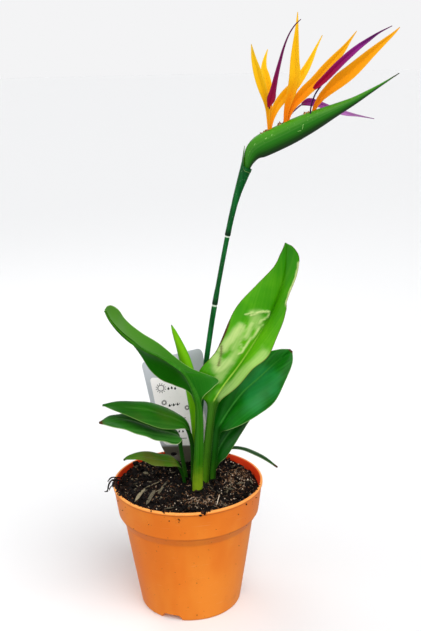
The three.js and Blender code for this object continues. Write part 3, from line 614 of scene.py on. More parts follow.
@dataclass(frozen=True)
class LabelPlastic:
    """Label: a grey plastic border round a white panel, and a darker foot."""

    name: str = "label_plastic"
    border: Colour = (188, 192, 198)
    panel: Colour = (254, 250, 248)
    foot: Colour = (92, 88, 76)
    dust: Colour = (150, 140, 128)
    panel_foot: float = 0.124
    panel_top: float = 0.1875
    panel_left: float = -0.0262
    panel_right: float = 0.0165
    lean: float = -0.168
    tilt: float = 0.06
    corner: float = 0.0035
    foot_rise: Pair = (0.1225, 0.1255)
    roughness: float = 0.28
    shine: float = 0.4
    grit: float = 0.00004

    def material(self) -> Material:
        """Makes the material, with the panel as a rounded leaning box.

        Returns:
            The material.
        """
        g = Graph(self.name)
        x, _, z = g.axes()
        middle, centre = (self.panel_foot + self.panel_top) / 2, (self.panel_left + self.panel_right) / 2
        side = abs(x - centre - (z - middle) * self.lean) - ((self.panel_right - self.panel_left) / 2 - self.corner)
        rise = abs(z - middle + x * self.tilt) - ((self.panel_top - self.panel_foot) / 2 - self.corner)
        reach = (side.most(0) ** 2 + rise.most(0) ** 2) ** 0.5
        inside = 1 - reach.rise(self.corner - 0.0002, self.corner + 0.0001)
        dust = g.grain(350, 3).rise(0.58, 0.8)
        colour = g.layers(self.border, (1 - z.rise(*self.foot_rise), self.foot), (inside, self.panel),
                          (dust * 0.12, self.dust))
        return g.finish(colour, dust * 0.2 + self.roughness, g.relief(dust, self.grit), self.shine)


@dataclass(frozen=True)
class Plain:
    """A small part's finish: one colour with a little mottling."""

    name: str
    colour: Colour
    light: Colour
    roughness: float
    scale: float = 500.0
    grit: float = 0.0001

    def material(self) -> Material:
        """Makes the material.

        Returns:
            The material.
        """
        g = Graph(self.name)
        speckle = g.grain(self.scale, 3)
        colour = g.layers(self.colour, (speckle.rise(0.3, 0.7), self.light))
        return g.finish(colour, speckle * 0.15 + self.roughness, g.relief(speckle, self.grit))


# Mesh making

def begin(names: Iterable[str]) -> BMesh:
    """Starts a mesh that holds numbers at its points.

    Args:
        names: The numbers' names.

    Returns:
        The mesh.
    """
    bm = bmesh.new()
    for name in names:
        bm.verts.layers.float.new(name)
    return bm


def wrap(bm: BMesh, rings: list[list[Placed]]) -> None:
    """Bends a flat grid round a form and closes its side and its ends.

    Args:
        bm: The mesh that it is added to. Of the traits it takes those that it has a layer for.
        rings: The form's rings of points, each with its traits.
    """
    sides, last = len(rings[0]), len(rings) - 1
    made = bmesh.ops.create_grid(bm, x_segments=sides, y_segments=last, size=1)["verts"]
    layers = bm.verts.layers.float.items()
    for vert in made:
        side = round((vert.co.x + 1) / 2 * sides) % sides
        vert.co, traits = rings[round((vert.co.y + 1) / 2 * last)][side]
        for name, layer in layers:
            vert[layer] = traits.get(name, 0)
    bmesh.ops.remove_doubles(bm, verts=made, dist=MERGE_GAP)
    made = [vert for vert in made if vert.is_valid]
    edges = {edge for vert in made for edge in vert.link_edges if edge.is_boundary}
    bmesh.ops.holes_fill(bm, edges=list(edges), sides=0)
    bmesh.ops.recalc_face_normals(bm, faces=list({face for vert in made for face in vert.link_faces}))


def skin(bm: BMesh, rings: list[list[Spot]]) -> None:
    """Wraps a closed skin round a middle surface.

    Args:
        bm: The mesh that it is added to.
        rings: The surface's rings from left to right: each point, the skin's height over it above and
            below, and its traits.
    """
    wrapped = []
    for index, ring in enumerate(rings):
        before, after = rings[max(index - 1, 0)], rings[min(index + 1, len(rings) - 1)]
        upper, lower = [], []
        for column, (point, above, below, traits) in enumerate(ring):
            across = ring[min(column + 1, len(ring) - 1)][0] - ring[max(column - 1, 0)][0]
            normal = across.cross(after[column][0] - before[column][0]).normalized()
            upper.append((point + normal * above, {**traits, "under": 0}))
            lower.append((point + normal * below, {**traits, "under": 1}))
        wrapped.append([*upper, *reversed(lower)])
    wrap(bm, wrapped)


def lathe(profile: Sequence[Pair], steps: int, trait: str, first: int) -> BMesh:
    """Spins a section once round the Z axis.

    Args:
        profile: The section's points as radius and height, in millimetres.
        steps: How many faces go round.
        trait: The number layer to add.
        first: The first of the section's points where the trait is 1 and not 0.

    Returns:
        The closed form.
    """
    bm = begin([trait])
    layer = bm.verts.layers.float[trait]
    verts = [bm.verts.new(vec((radius, 0, height))) for radius, height in profile]
    for index, vert in enumerate(verts):
        vert[layer] = float(index >= first)
    edges = [bm.edges.new(pair) for pair in zip(verts, verts[1:])]
    bmesh.ops.spin(bm, geom=[*verts, *edges], cent=(0, 0, 0), axis=(0, 0, 1), angle=FULL_TURN, steps=steps,
                   use_merge=True)
    bmesh.ops.remove_doubles(bm, verts=bm.verts[:], dist=MERGE_GAP)
    bmesh.ops.recalc_face_normals(bm, faces=bm.faces[:])
    return bm


def extrude(bm: BMesh, faces: list[BMFace], step: Vector) -> list[BMVert]:
    """Extrudes faces by a step.

    Args:
        bm: The mesh.
        faces: The faces.
        step: How far they move.

    Returns:
        The vertices that moved.
    """
    made = bmesh.ops.extrude_face_region(bm, geom=faces)["geom"]
    moved = [item for item in made if isinstance(item, BMVert)]
    bmesh.ops.translate(bm, verts=moved, vec=step)
    return moved


def smooth(bm: BMesh, mesh: Mesh, sharp: float) -> Mesh:
    """Writes a bmesh to a mesh, smooth but for its sharp edges, and frees it.

    Args:
        bm: The bmesh.
        mesh: The mesh.
        sharp: The angle in degrees past which an edge is sharp.

    Returns:
        The mesh.
    """
    for face in bm.faces:
        face.smooth = True
    for edge in bm.edges:
        edge.smooth = edge.calc_face_angle(0) < math.radians(sharp)
    bm.to_mesh(mesh)
    bm.free()
    return mesh


def finish(bm: BMesh, name: str, sharp: float = 40) -> Object:
    """Turns a bmesh into an object, smooth but for its sharp edges.

    Args:
        bm: The bmesh, which is freed.
        name: The object's name.
        sharp: The angle in degrees past which an edge is sharp.

    Returns:
        The object, linked to the scene.
    """
    made = bpy.data.objects.new(name, smooth(bm, bpy.data.meshes.new(name), sharp))
    bpy.context.scene.collection.objects.link(made)
    return made


def gather(name: str, names: Sequence[str], count: int, make: Maker, sharp: float = 50, batch: int = 60) -> Object:
    """Joins any number of shapes into one object, a batch at a time, which is far quicker.

    Args:
        name: The object's name.
        names: The traits that its points hold.
        count: How many shapes there are.
        make: Adds the shape of a number to a mesh.
        sharp: The angle in degrees past which an edge is sharp.
        batch: How many shapes are made together.

    Returns:
        The object, linked to the scene.
    """
    whole = begin(names)
    for first in range(0, count, batch):
        part = begin(names)
        for index in range(first, min(first + batch, count)):
            make(part, index)
        mesh = bpy.data.meshes.new("batch")
        part.to_mesh(mesh)
        part.free()
        whole.from_mesh(mesh)
        bpy.data.meshes.remove(mesh)
    return finish(whole, name, sharp)


def settle(piece: Object, material: Material, slot: str, *nodes: str) -> None:
    """Dresses a piece and ties it to the frame.

    Args:
        piece: The object.
        material: Its finish.
        slot: The record's material slot; not used.
        nodes: The nodes that it stands for.
    """
    piece.data.materials.append(material)
    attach(piece, BODY)
    if nodes:
        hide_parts(*nodes)
    log.info("%s: %d faces", piece.name, len(piece.data.polygons))


# Leaves

@dataclass(frozen=True)
class Mark:
    """A line or patch on a blade that is creased, rubbed pale or dried brown, or that holds a painted sheen.

    Its points are the length along the rib and the reach across from it, and left is negative.
    All its lengths are in millimetres.
    """

    points: tuple[Pair, ...]
    width: float
    pale: float = 0.0
    brown: float = 0.0
    bloom: float = 0.0
    lift: float = 0.0

    def near(self, run: float, reach: float) -> float:
        """Says how much of the mark is at a place.

        Args:
            run: The length along the rib.
            reach: The reach across from it.

        Returns:
            From 0 off the mark to 1 on it.
        """
        place = Vector((run, reach))
        gaps = []
        for start, end in zip(self.points, self.points[1:]):
            a, b = Vector(start), Vector(end)
            share = min(max((place - a).dot(b - a) / (b - a).length_squared, 0), 1)
            gaps.append((place - a.lerp(b, share)).length)
        fine = min(0.4, 1.6 / self.width)
        ragged = self.width * (1 + 0.3 * noise.noise(Vector((run * fine, reach * fine, self.width))))
        return 1 - smoothstep(ragged * 0.2, ragged, min(gaps))


@dataclass
class Leaf:
    """One leaf, from its stem in the soil to the tip of its blade, as one closed skin.

    Each row is a point of the rib, the offsets of the left and right margins from it, and the
    depth of the stem or midrib below it, in millimetres.
    """

    node: str
    look: LeafSkin
    slot: str
    rows: list[tuple[Point, Point, Point, float]]
    bulge: float = 0.08
    thickness: float = 0.5
    wave: float = 0.35
    wave_length: float = 34.0
    dry_tip: float = 0.0
    vein_slope: float = 2.4
    marks: tuple[Mark, ...] = ()
    steps: int = 7
    narrowest: float = 0.2
    shallowest: float = 0.4
    stem_ratios: Pair = (0.8, 2.4)
    keel_aspect: float = 0.6
    deepest_channel: float = 0.9
    outer_count: int = 10
    inner_places: tuple[float, ...] = (0.25, 0.5, 0.75, 1)
    traits: tuple[str, ...] = ("across", "edge", "reach", "stem", "pale", "bloom", "vein", "along", "damage", "under")

    def spot(self, u: float, rib: Vector, along: Vector, margin: Vector, side: int, keel: float, inner: float,
             run: float, y: float) -> Spot:
        """Places one point of a ring.

        Args:
            u: The ring's share of the leaf's length.
            rib: Its point of the rib.
            along: The rib's direction there.
            margin: The margin's offset on this side.
            side: -1 on the left and 1 on the right.
            keel: The depth of the stem or midrib.
            inner: The reach of the stem or midrib.
            run: The length of rib up to here.
            y: The reach from the rib.

        Returns:
            The point, the skin's height above and below it, and its traits.
        """
        width = max(margin.length, self.narrowest * MM)
        up = (margin.cross(along) * side).normalized()
        stem = 1 - smoothstep(*self.stem_ratios, width / keel)
        x = y / width
        crown = self.bulge * width * 4 * x * (1 - x) * min(1, (width - inner) / inner)
        swell = math.sin(FULL_TURN * run / (self.wave_length * MM) + side * 1.3)
        ripple = self.wave * MM * swell * x ** 2 * (1 - stem) * min(1, width / 0.008)
        found = [(mark, mark.near(run / MM, side * y / MM)) for mark in self.marks]
        lift = sum(mark.lift * share for mark, share in found) * MM
        tip = smoothstep(1 - self.dry_tip, 1 - self.dry_tip * 0.45, u) if self.dry_tip else 0.0
        slope = self.vein_slope
        depth = keel * math.sqrt(max(0, 1 - (y / inner) ** 2))
        thin = self.thickness * MM / 2 * (1 - 0.45 * x ** 6)
        channel = min((0.12 + 0.1 * stem) * depth, self.deepest_channel * MM)
        return rib + margin * x + up * (crown + ripple + lift), thin - channel, -thin - depth, {
            "across": side * x, "edge": width - y, "reach": y, "stem": stem, "along": u,
            "vein": (run - slope * y - 3 * y * x) / math.hypot(1, slope),
            # The sheen marks give the share of painted sheen here.
            "pale": max([mark.pale * share for mark, share in found], default=0),
            "bloom": max([mark.bloom * share for mark, share in found], default=0),
            "damage": max([mark.brown * share for mark, share in found], default=0) + tip,
        }

    def rings(self) -> list[list[Spot]]:
        """Works out the leaf's middle surface, with its stem or midrib below and a channel above.

        Returns:
            The rings from the left to the right margin.
        """
        rib, left, right, keels = (Spline.of(self.rows, item) for item in range(4))
        count = (len(self.rows) - 1) * self.steps
        spread = [1 - (1 - k / self.outer_count) ** 1.3 for k in range(1, self.outer_count + 1)]
        rings, run = [], 0.0
        for index in range(count + 1):
            u = index / count
            centre, keel = rib.at(u), max(keels.at(u).x, self.shallowest * MM)
            run += (centre - rib.at(max(index - 1, 0) / count)).length
            ring: list[Spot] = []
            for margin, side in ((left.at(u), -1), (right.at(u), 1)):
                width = max(margin.length, self.narrowest * MM)
                inner = min(keel * self.keel_aspect, 0.85 * width)
                reaches = [inner * place for place in self.inner_places]
                reaches += [inner + (width - inner) * share for share in spread]
                half = [self.spot(u, centre, rib.along(u), margin, side, keel, inner, run, y)
                        for y in ([0, *reaches] if side < 0 else reaches)]
                ring += reversed(half) if side < 0 else half
            rings.append(ring)
        return rings

    def build(self) -> None:
        """Makes the leaf."""
        bm = begin(self.traits)
        skin(bm, self.rings())
        settle(finish(bm, f"{self.node}_skin", 75), self.look.material(), self.slot, self.node)


@dataclass
class RolledLeaf:
    """The newest leaf: a spear whose outer edge laps over itself down one side."""

    look: LeafSkin
    sides: int = 36
    steps: int = 8
    lap: float = 0.16
    lap_turn: float = 2.6
    rows: tuple[tuple[Point, float], ...] = (
        ((8, 14, 88), 3.7), ((8.5, 13.5, 112), 3.7), ((9, 12.5, 140), 4), ((8.5, 12, 165), 4.6),
        ((6.5, 11.5, 185), 5.2), ((4, 11, 202), 5.4), ((0.5, 10.5, 218), 4.8), ((-3.5, 10, 231), 3.4),
        ((-7.5, 9.5, 242), 2), ((-10, 9, 249), 0.5))

    def build(self) -> None:
        """Makes the spear, whose side steps out at the lap and winds back in."""
        centre, radius = Spline.of(self.rows, 0), Spline.of(self.rows, 1)
        count = (len(self.rows) - 1) * self.steps
        rings = []
        for u in evenly(count):
            across, out = square_to(centre.along(u))
            row = []
            for share in evenly(self.sides - 1):
                turn = share * FULL_TURN + self.lap_turn - 0.5 * u
                reach = radius.at(u).x * (1 + self.lap * (0.5 - share))
                x, y = polar(reach, turn)
                row.append((centre.at(u) + across * x + out * y, {
                    "across": math.sin(turn) * 0.9, "edge": share * FULL_TURN * reach if share < 0.5 else 0.01,
                    "reach": 0.01, "vein": u * 0.02 + share * 0.03, "along": u,
                    "damage": smoothstep(0.985, 1, u) * 0.8}))
            rings.append(row)
        bm = begin(Leaf.traits)
        wrap(bm, rings)
        settle(finish(bm, "leaf_rolled_skin", 50), self.look.material(), "leaf_young", "leaf_rolled")


# Flower

@dataclass
class Petal:
    """One sepal or petal: points of its rib, each with the half width there, in millimetres."""

    rows: list[tuple[float, float, float, float]]
    face: Point
    fold: float
    gold: float = 0.0
    thickness: float = 0.45
    keel: float = 0.9
    steps: int = 7
    narrowest: float = 0.18
    ridge_reach: float = 0.42
    places: tuple[float, ...] = (0.12, 0.25, 0.4, 0.55, 0.7, 0.83, 0.93, 1)

    def add(self, bm: BMesh) -> None:
        """Adds the petal's closed skin, with a ridge behind.

        Args:
            bm: The mesh, which has the petal traits.
        """
        curve, widths = Spline(vec(row[:3]) for row in self.rows), Spline.of(self.rows, 3)
        count = (len(self.rows) - 1) * self.steps
        angle = math.radians(self.fold)
        shares = [*[-place for place in reversed(self.places)], 0, *self.places]
        rings = []
        for u in evenly(count):
            half = max(widths.at(u).x, self.narrowest * MM)
            along = curve.along(u)
            across = along.cross(Vector(self.face)).normalized()
            up = across.cross(along)
            row = []
            for x in shares:
                rise = abs(x) * half * (math.sin(angle) + 0.2 * (1 - abs(x)))
                thin = self.thickness * MM / 2 * min(1, half / 0.0009) * (1 - 0.5 * abs(x) ** 6)
                ridge = min(self.keel * MM, half) * math.sqrt(max(0, 1 - (x / self.ridge_reach) ** 2))
                row.append((curve.at(u) + across * (x * half * math.cos(angle)) + up * rise, thin, -thin - ridge, {
                    "across": x, "along": u, "edge": half * (1 - abs(x)), "gold": self.gold}))
            rings.append(row)
        skin(bm, rings)


def add_tube(bm: BMesh, points: Sequence[Point], radii: Sequence[float], sides: int = 12, steps: int = 5) -> None:
    """Adds a closed round stem along points.

    Args:
        bm: The mesh, which has the petal traits.
        points: Its middle line, in millimetres.
        radii: Its radius at each point, in millimetres.
        sides: How many faces go round.
        steps: How many faces go from one point to the next.
    """
    rows = list(zip(points, radii))
    centre, radius = Spline.of(rows, 0), Spline.of(rows, 1)
    count = (len(points) - 1) * steps
    rings = []
    for u in evenly(count):
        across, out = square_to(centre.along(u))
        row = []
        for turn in angles(sides):
            x, y = polar(radius.at(u).x, turn)
            row.append((centre.at(u) + across * x + out * y, {"across": math.cos(turn), "along": 0.86, "edge": 0.01}))
        rings.append(row)
    wrap(bm, rings)


@dataclass
class Flower:
    """One flower: its orange sepals, and the arrow of joined petals on its claw."""

    name: str
    sepals: list[Petal]
    arrow: Petal
    claw: list[Point]
    sepal_look: PetalSkin
    arrow_look: PetalSkin
    claw_radius: float = 0.62
    traits: tuple[str, ...] = ("across", "along", "edge", "gold")

    def add_arrow(self, bm: BMesh, index: int) -> None:
        """Adds the arrow or its claw.

        Args:
            bm: The mesh.
            index: 0 for the arrow and 1 for the claw.
        """
        if index == 0:
            self.arrow.add(bm)
        else:
            sizes = (1.15, *[1.0] * (len(self.claw) - 2), 1.2)
            add_tube(bm, self.claw, [self.claw_radius * size for size in sizes])

    def build(self) -> None:
        """Makes the two pieces of the flower."""
        sepals = gather(f"{self.name}_sepal_skins", self.traits, len(self.sepals),
                        lambda bm, index: self.sepals[index].add(bm), 75)
        settle(sepals, self.sepal_look.material(), "sepal", f"{self.name}_sepals")
        arrow = gather(f"{self.name}_arrow_skin", self.traits, 2, self.add_arrow, 75)
        settle(arrow, self.arrow_look.material(), "arrow", f"{self.name}_arrow")


@dataclass
class FlowerStalk:
    """The flower's stem: two joints, and a sheath with a raised point that holds the spathe."""

    line: tuple[Point, ...] = (
        (10.5, 21.5, 88), (11, 21.5, 112), (12, 22, 148), (13.8, 23, 176), (19.5, 24, 215),
        (27.5, 24, 263), (39.5, 24, 322.5), (46.5, 24, 351), (53, 24, 370.5), (57, 24, 381))
    radii: tuple[Pair, ...] = (
        (0, 2.6), (0.3, 2.4), (0.44, 2.3), (0.565, 2.3), (0.578, 2.4), (0.5845, 2.1), (0.5865, 2.1), (0.59, 2.5),
        (0.6, 2.42), (0.62, 2.3), (0.64, 2), (0.77, 2.02), (0.783, 2.1), (0.787, 1.9), (0.789, 1.9), (0.793, 2.5),
        (0.803, 2.42), (0.82, 2.35), (0.88, 2.6), (0.92, 3.2), (0.955, 4.1), (0.99, 4.9))
    pale_rings: Pair = (0.5855, 0.788)
    joint_length: float = 0.02
    sheath_point: float = 19.0
    sheath_flare: float = 3.0
    sheath_back: float = 0.2
    sheath_wall: float = 0.55
    sheath_depth: float = 9.0
    sides: int = 32
    rings_up: int = 90
    rings_at_lip: int = 6
    evened_points: int = 80

    def ring(self, line: Spline, share: float, radius: float, rise: float, side: int) -> Vector:
        """Places a point of a ring, whose left side may rise into the sheath's point.

        Args:
            line: The middle line.
            share: The ring's share of it.
            radius: The ring's radius, in millimetres.
            rise: How far its left side rises.
            side: The point's number round the ring.

        Returns:
            The point.
        """
        along = line.along(share)
        across, out = square_to(along)
        x, y = polar(radius, side / self.sides * FULL_TURN)
        left = max(0, -x / radius) ** 3
        lean = self.sheath_flare * rise * left / self.sheath_point
        return line.at(share) + (across * (x - lean) + out * y + along * (rise * (left - self.sheath_back))) * MM

    def by_length(self) -> tuple[Spline, float]:
        """Shares the middle line out by its length.

        Returns:
            The line, and its length in millimetres.
        """
        rough = Spline(vec(point) for point in self.line)
        fine = [rough.at(share) for share in evenly(FINE_STEPS)]
        runs = [0.0]
        for a, b in zip(fine, fine[1:]):
            runs.append(runs[-1] + (b - a).length)
        spaced, index = [], 0
        for step in range(self.evened_points + 1):
            target = runs[-1] * step / self.evened_points
            while index < FINE_STEPS - 1 and runs[index + 1] < target:
                index += 1
            gap = runs[index + 1] - runs[index]
            spaced.append(fine[index].lerp(fine[index + 1], (target - runs[index]) / gap))
        return Spline(spaced), runs[-1] / MM

    def build(self) -> None:
        """Makes the stalk, up its outside and down into its sheath."""
        line, length = self.by_length()
        outer: list[Point] = []
        for (share_a, radius_a), (share_b, radius_b) in zip(self.radii, self.radii[1:]):
            steps = max(2, round((share_b - share_a) * self.rings_up))
            outer += [(blend(share_a, share_b, k / steps), blend(radius_a, radius_b, k / steps), 0)
                      for k in range(steps)]
        share, radius = self.radii[-1]
        bore = radius - self.sheath_wall
        last = self.rings_at_lip
        lip = [(share, radius, self.sheath_point * k / last) for k in range(1, last + 1)]
        inner = [(share, bore, self.sheath_point * (1 - k / last)) for k in range(last)]
        floor = [(share - self.sheath_depth * k / 3 / length, bore - 0.6 * k, 0) for k in range(1, 4)]
        stations = [*outer, *lip, *inner, *floor]
        lip_ring = len(outer) + len(lip) - 1
        rings = []
        for index, station in enumerate(stations):
            gaps = [station[0] - middle for middle in self.pale_rings]
            joint = max(smoothstep(0, 0.003, gap) * (1 - smoothstep(0.6, 1, gap / self.joint_length))
                        for gap in gaps)
            pale = max(1 - smoothstep(0.0012, 0.0028, abs(gap)) for gap in gaps)
            # lip marks the sheath's lip, which the stalk's skin paints with a highlight.
            traits = {"joint": joint, "ring": pale, "lip": max(0, 1 - abs(index - lip_ring) / 2.5)}
            rings.append([(self.ring(line, *station, side), traits) for side in range(self.sides)])
        bm = begin(("joint", "ring", "lip"))
        wrap(bm, rings)
        settle(finish(bm, "flower_stalk_skin", 60), StalkSkin().material(), "stalk", "flower_stalk")


@dataclass
class Spathe:
    """The beak: a stiff folded bract with a slit along its top, from which the flowers rise.

    Each row is a point of its middle line, and half its height and half its width there. The
    section runs from the slit to the keel, as shares of the width and of the height.
    """

    rows: tuple[tuple[Point, Point], ...] = tuple((centre, (high, wide, 0)) for centre, high, wide in (
        ((54, 24, 371.5), 1.9, 1.9), ((56, 24, 377.5), 3, 2.8), ((58, 24, 383.5), 4.8, 3.7),
        ((61.8, 24, 390), 7.4, 4.9), ((68.3, 24, 394.6), 9.4, 6), ((80, 24, 399.8), 9.7, 6.8),
        ((93.6, 24, 405.9), 9.5, 6.9), ((110.6, 24, 413.8), 8, 6.2), ((126.3, 24, 421), 5.6, 4.7),
        ((141.6, 24, 428), 3.4, 3.1), ((151.5, 24, 433.3), 2.3, 2.2), ((165, 24, 441), 1.1, 1.1),
        ((180, 24, 450), 0.35, 0.35)))
    section: tuple[Pair, ...] = (
        (0, 0.7), (0.05, 0.8), (0.1, 0.93), (0.17, 0.985), (0.28, 0.985), (0.42, 0.95), (0.58, 0.87), (0.74, 0.72),
        (0.87, 0.52), (0.96, 0.28), (1, 0.04), (0.97, -0.2), (0.89, -0.42), (0.77, -0.6), (0.62, -0.74),
        (0.46, -0.85), (0.3, -0.93), (0.14, -0.985), (0, -1))
    steps: int = 9

    def place_of(self, u: float, x: float, y: float) -> Vector:
        """Places a point of the section.

        Args:
            u: The section's share of the length.
            x: The point's share of the half width, towards the viewer.
            y: Its share of the half height.

        Returns:
            The point.
        """
        centre, size = Spline.of(self.rows, 0), Spline.of(self.rows, 1).at(u)
        across = Vector((0, -1, 0))
        return centre.at(u) + across * (x * size.y) + across.cross(centre.along(u)).normalized() * (y * size.x)

    def edge(self, x: float, side: int) -> Vector:
        """Finds a place on one lip of the slit.

        Args:
            x: Its place along X, in millimetres.
            side: 1 towards the viewer and -1 away.

        Returns:
            The place.
        """
        centre = Spline.of(self.rows, 0)
        u = min(evenly(FINE_STEPS), key=lambda share: abs(centre.at(share).x - x * MM))
        return self.place_of(u, side * 0.3, 0.97)

    def build(self) -> None:
        """Makes the spathe."""
        points = [*self.section, *[(-x, y) for x, y in self.section[-2:0:-1]]]
        count = (len(self.rows) - 1) * self.steps
        rings = []
        for u in evenly(count):
            row = []
            for side, (x, y) in enumerate(points):
                lip = (1 - smoothstep(0.05, 0.2, abs(x))) * (y > 0) * smoothstep(0.2, 0.3, u)
                row.append((self.place_of(u, x * (1 + 0.012 * math.sin(u * 40 + x * 2)), y), {
                    "rise": y, "along": u, "lip": lip * 0.8, "round": abs(side - len(points) / 2) * 0.04}))
            rings.append(row)
        bm = begin(("rise", "along", "lip", "round"))
        wrap(bm, rings)
        settle(finish(bm, "spathe_skin_piece", 60), SpatheSkin().material(), "spathe", "spathe")


@dataclass
class FootScales:
    """Small dry scales where the flowers leave the spathe."""

    spathe: Spathe
    feet: tuple[float, ...] = (72.6, 74.4, 76.4, 85.6, 87.6, 89.8, 107.2, 109, 111.2)
    length: float = 2.6
    width: float = 2.2

    def add(self, bm: BMesh, index: int) -> None:
        """Adds one curled flake, which stands on the side of the slit.

        Args:
            bm: The mesh.
            index: The flake's number.
        """
        rng = Random(31 + index)
        foot = self.spathe.edge(self.feet[index // 2] + rng.uniform(-0.6, 0.6), -1 if index % 2 else 1)
        bmesh.ops.create_cube(bm, size=1)
        bmesh.ops.subdivide_edges(bm, edges=bm.edges[:], cuts=2, use_grid_fill=True)
        length = self.length * rng.uniform(0.6, 1.2)
        turn = Euler((rng.uniform(-0.5, 0.5), rng.uniform(-0.6, 0.9), rng.uniform(-0.8, 0.8)))
        for vert in bm.verts:
            x, y, z = vert.co
            share = z + 0.5
            local = Vector((x * self.width * (1 - 0.75 * share) + 0.9 * share ** 2, y * 0.4, share * length - 0.6))
            local += Vector((0, noise.noise(vert.co * 3) * 0.4, noise.noise(vert.co * 4) * 0.4))
            local.rotate(turn)
            vert.co = foot + local * MM

    def build(self) -> None:
        """Makes the scales on both sides of the slit."""
        scales = gather("flower_foot_scales", (), 2 * len(self.feet), self.add, 60, batch=1)
        settle(scales, Plain("dry_scale", (62, 34, 12), (214, 160, 84), 0.62, 900).material(), "spathe")


# Pot

@dataclass
class NurseryPot:
    """The moulded pot: tapered body, collar, rolled lip and three drain pockets."""

    rim: float = 65.0
    height: float = 112.0
    collar: float = 61.2
    collar_foot: float = 86.0
    neck: float = 56.2
    neck_height: float = 78.0
    base: float = 44.3
    wall: float = 1.6
    lip_height: float = 3.0
    lip_overhang: float = 0.7
    lip_inner: float = 62.7
    segments: int = 144
    pocket_count: int = 3
    pocket_first_angle: float = -113.0
    pocket_width: float = 18.0
    pocket_height: float = 5.0
    pocket_chamfer: float = 2.5
    pocket_inner: float = 31.0
    drain_length: float = 10.0
    drain_width: float = 4.0
    roof_foot: float = 0.4
    roof_top: float = 20.0
    sharp: float = 50.0

    def profile(self) -> list[Pair]:
        """Gives the wall's section as radius and height, from the axis out, up and back in.

        Returns:
            The section's points.
        """
        rim, collar, neck, base, wall = self.rim, self.collar, self.neck, self.base, self.wall
        top, lip, foot, knee = self.height, self.height - self.lip_height, self.collar_foot, self.neck_height
        under = rim - self.lip_overhang
        return [
            (0, 0), (base - 1.8, 0), (base - 0.7, 0.25), (base - 0.15, 0.9), (base, 1.8),
            (blend(base, neck, 0.5), knee / 2), (neck - 0.15, knee - 1.2), (neck + 0.2, knee), (neck + 0.9, knee + 1.1),
            (collar - 0.6, foot - 0.9), (collar - 0.05, foot), (collar + 0.15, foot + 1), (under - 0.1, lip - 0.6),
            (under + 0.1, lip), (rim - 0.1, lip + 0.5), (rim, lip + 1.1), (rim, top - 0.9), (rim - 0.25, top - 0.3),
            (rim - 0.8, top), (rim - 1.6, top), (rim - 2.1, top - 0.25), (self.lip_inner, top - 0.9),
            (collar - wall, foot), (neck - wall, knee), (base - wall, wall), (0, wall),
        ]

    def turns(self) -> list[Matrix]:
        """Gives the turn of each pocket round the pot's axis.

        Returns:
            The turns.
        """
        step = 360 / self.pocket_count
        return [Matrix.Rotation(math.radians(self.pocket_first_angle + step * index - 90), 4, "Z")
                for index in range(self.pocket_count)]

    def pockets(self, name: str, inner: float, margin: float) -> Object:
        """Makes all the channels as one tool, with chamfered top edges.

        Args:
            name: The tool's name.
            inner: The radius where they start, from which they run outwards.
            margin: How much larger they are than the pot's own.

        Returns:
            The tool.
        """
        half, top, chamfer = self.pocket_width / 2 + margin, self.pocket_height + margin, self.pocket_chamfer
        section = [(-half, -1), (half, -1), (half, top - chamfer), (half - chamfer, top), (chamfer - half, top),
                   (-half, top - chamfer)]
        bm = bmesh.new()
        for turn in self.turns():
            verts = [bm.verts.new(vec((x, inner, z))) for x, z in section]
            moved = extrude(bm, [bm.faces.new(verts)], vec((0, self.base + 8 - inner, 0)))
            bmesh.ops.rotate(bm, verts=[*verts, *moved], cent=(0, 0, 0), matrix=turn)
        bmesh.ops.recalc_face_normals(bm, faces=bm.faces[:])
        return finish(bm, name)

    def drains(self) -> Object:
        """Makes the slots through the roofs of the channels.

        Returns:
            The tool that cuts them.
        """
        bm = bmesh.new()
        place = Matrix.Translation(vec((0, self.pocket_inner + 6, self.pocket_height)))
        size = Matrix.Diagonal((self.drain_length * MM, self.drain_width * MM, 0.01, 1))
        for turn in self.turns():
            bmesh.ops.create_cube(bm, size=1, matrix=turn @ place @ size)
        return finish(bm, "drain_cutter")

    @staticmethod
    def boolean(target: Object, tool: Object, operation: str) -> None:
        """Joins or cuts the target with a tool, which is then removed.

        Args:
            target: The object that is changed.
            tool: The object that it is joined to or cut with.
            operation: UNION, DIFFERENCE or INTERSECT.
        """
        modifier = target.modifiers.new("joined", "BOOLEAN")
        modifier.operation, modifier.solver, modifier.object = operation, "EXACT", tool
        graph = bpy.context.evaluated_depsgraph_get()
        mesh = bpy.data.meshes.new_from_object(target.evaluated_get(graph))
        target.modifiers.clear()
        target.data = mesh
        bpy.data.objects.remove(tool)

    def build(self) -> None:
        """Spins the wall, adds the pockets' roofs and cuts the pockets."""
        profile = self.profile()
        inside = next(index for index, (_, height) in enumerate(profile) if height >= self.height) + 2
        shell = finish(lathe(profile, self.segments, "inner", inside), "pot_shell", self.sharp)
        foot, top = self.roof_foot, self.roof_top
        reach, slope = self.base - self.wall + foot, (self.neck - self.base) / self.neck_height
        section = [(0, foot), (reach, foot), (reach + slope * top, top), (0, top)]
        limit = lathe(section, self.segments, "inner", len(section))
        roofs = self.pockets("pocket_roofs", self.pocket_inner - self.wall, self.wall)
        self.boolean(roofs, finish(limit, "roof_limit", self.sharp), "INTERSECT")
        self.boolean(shell, roofs, "UNION")
        for tool in (self.pockets("pocket_cutter", self.pocket_inner, 0), self.drains()):
            self.boolean(shell, tool, "DIFFERENCE")
        bm = bmesh.new()
        bm.from_mesh(shell.data)
        smooth(bm, shell.data, self.sharp)
        settle(shell, PotPlastic().material(), "pot_plastic", "pot")

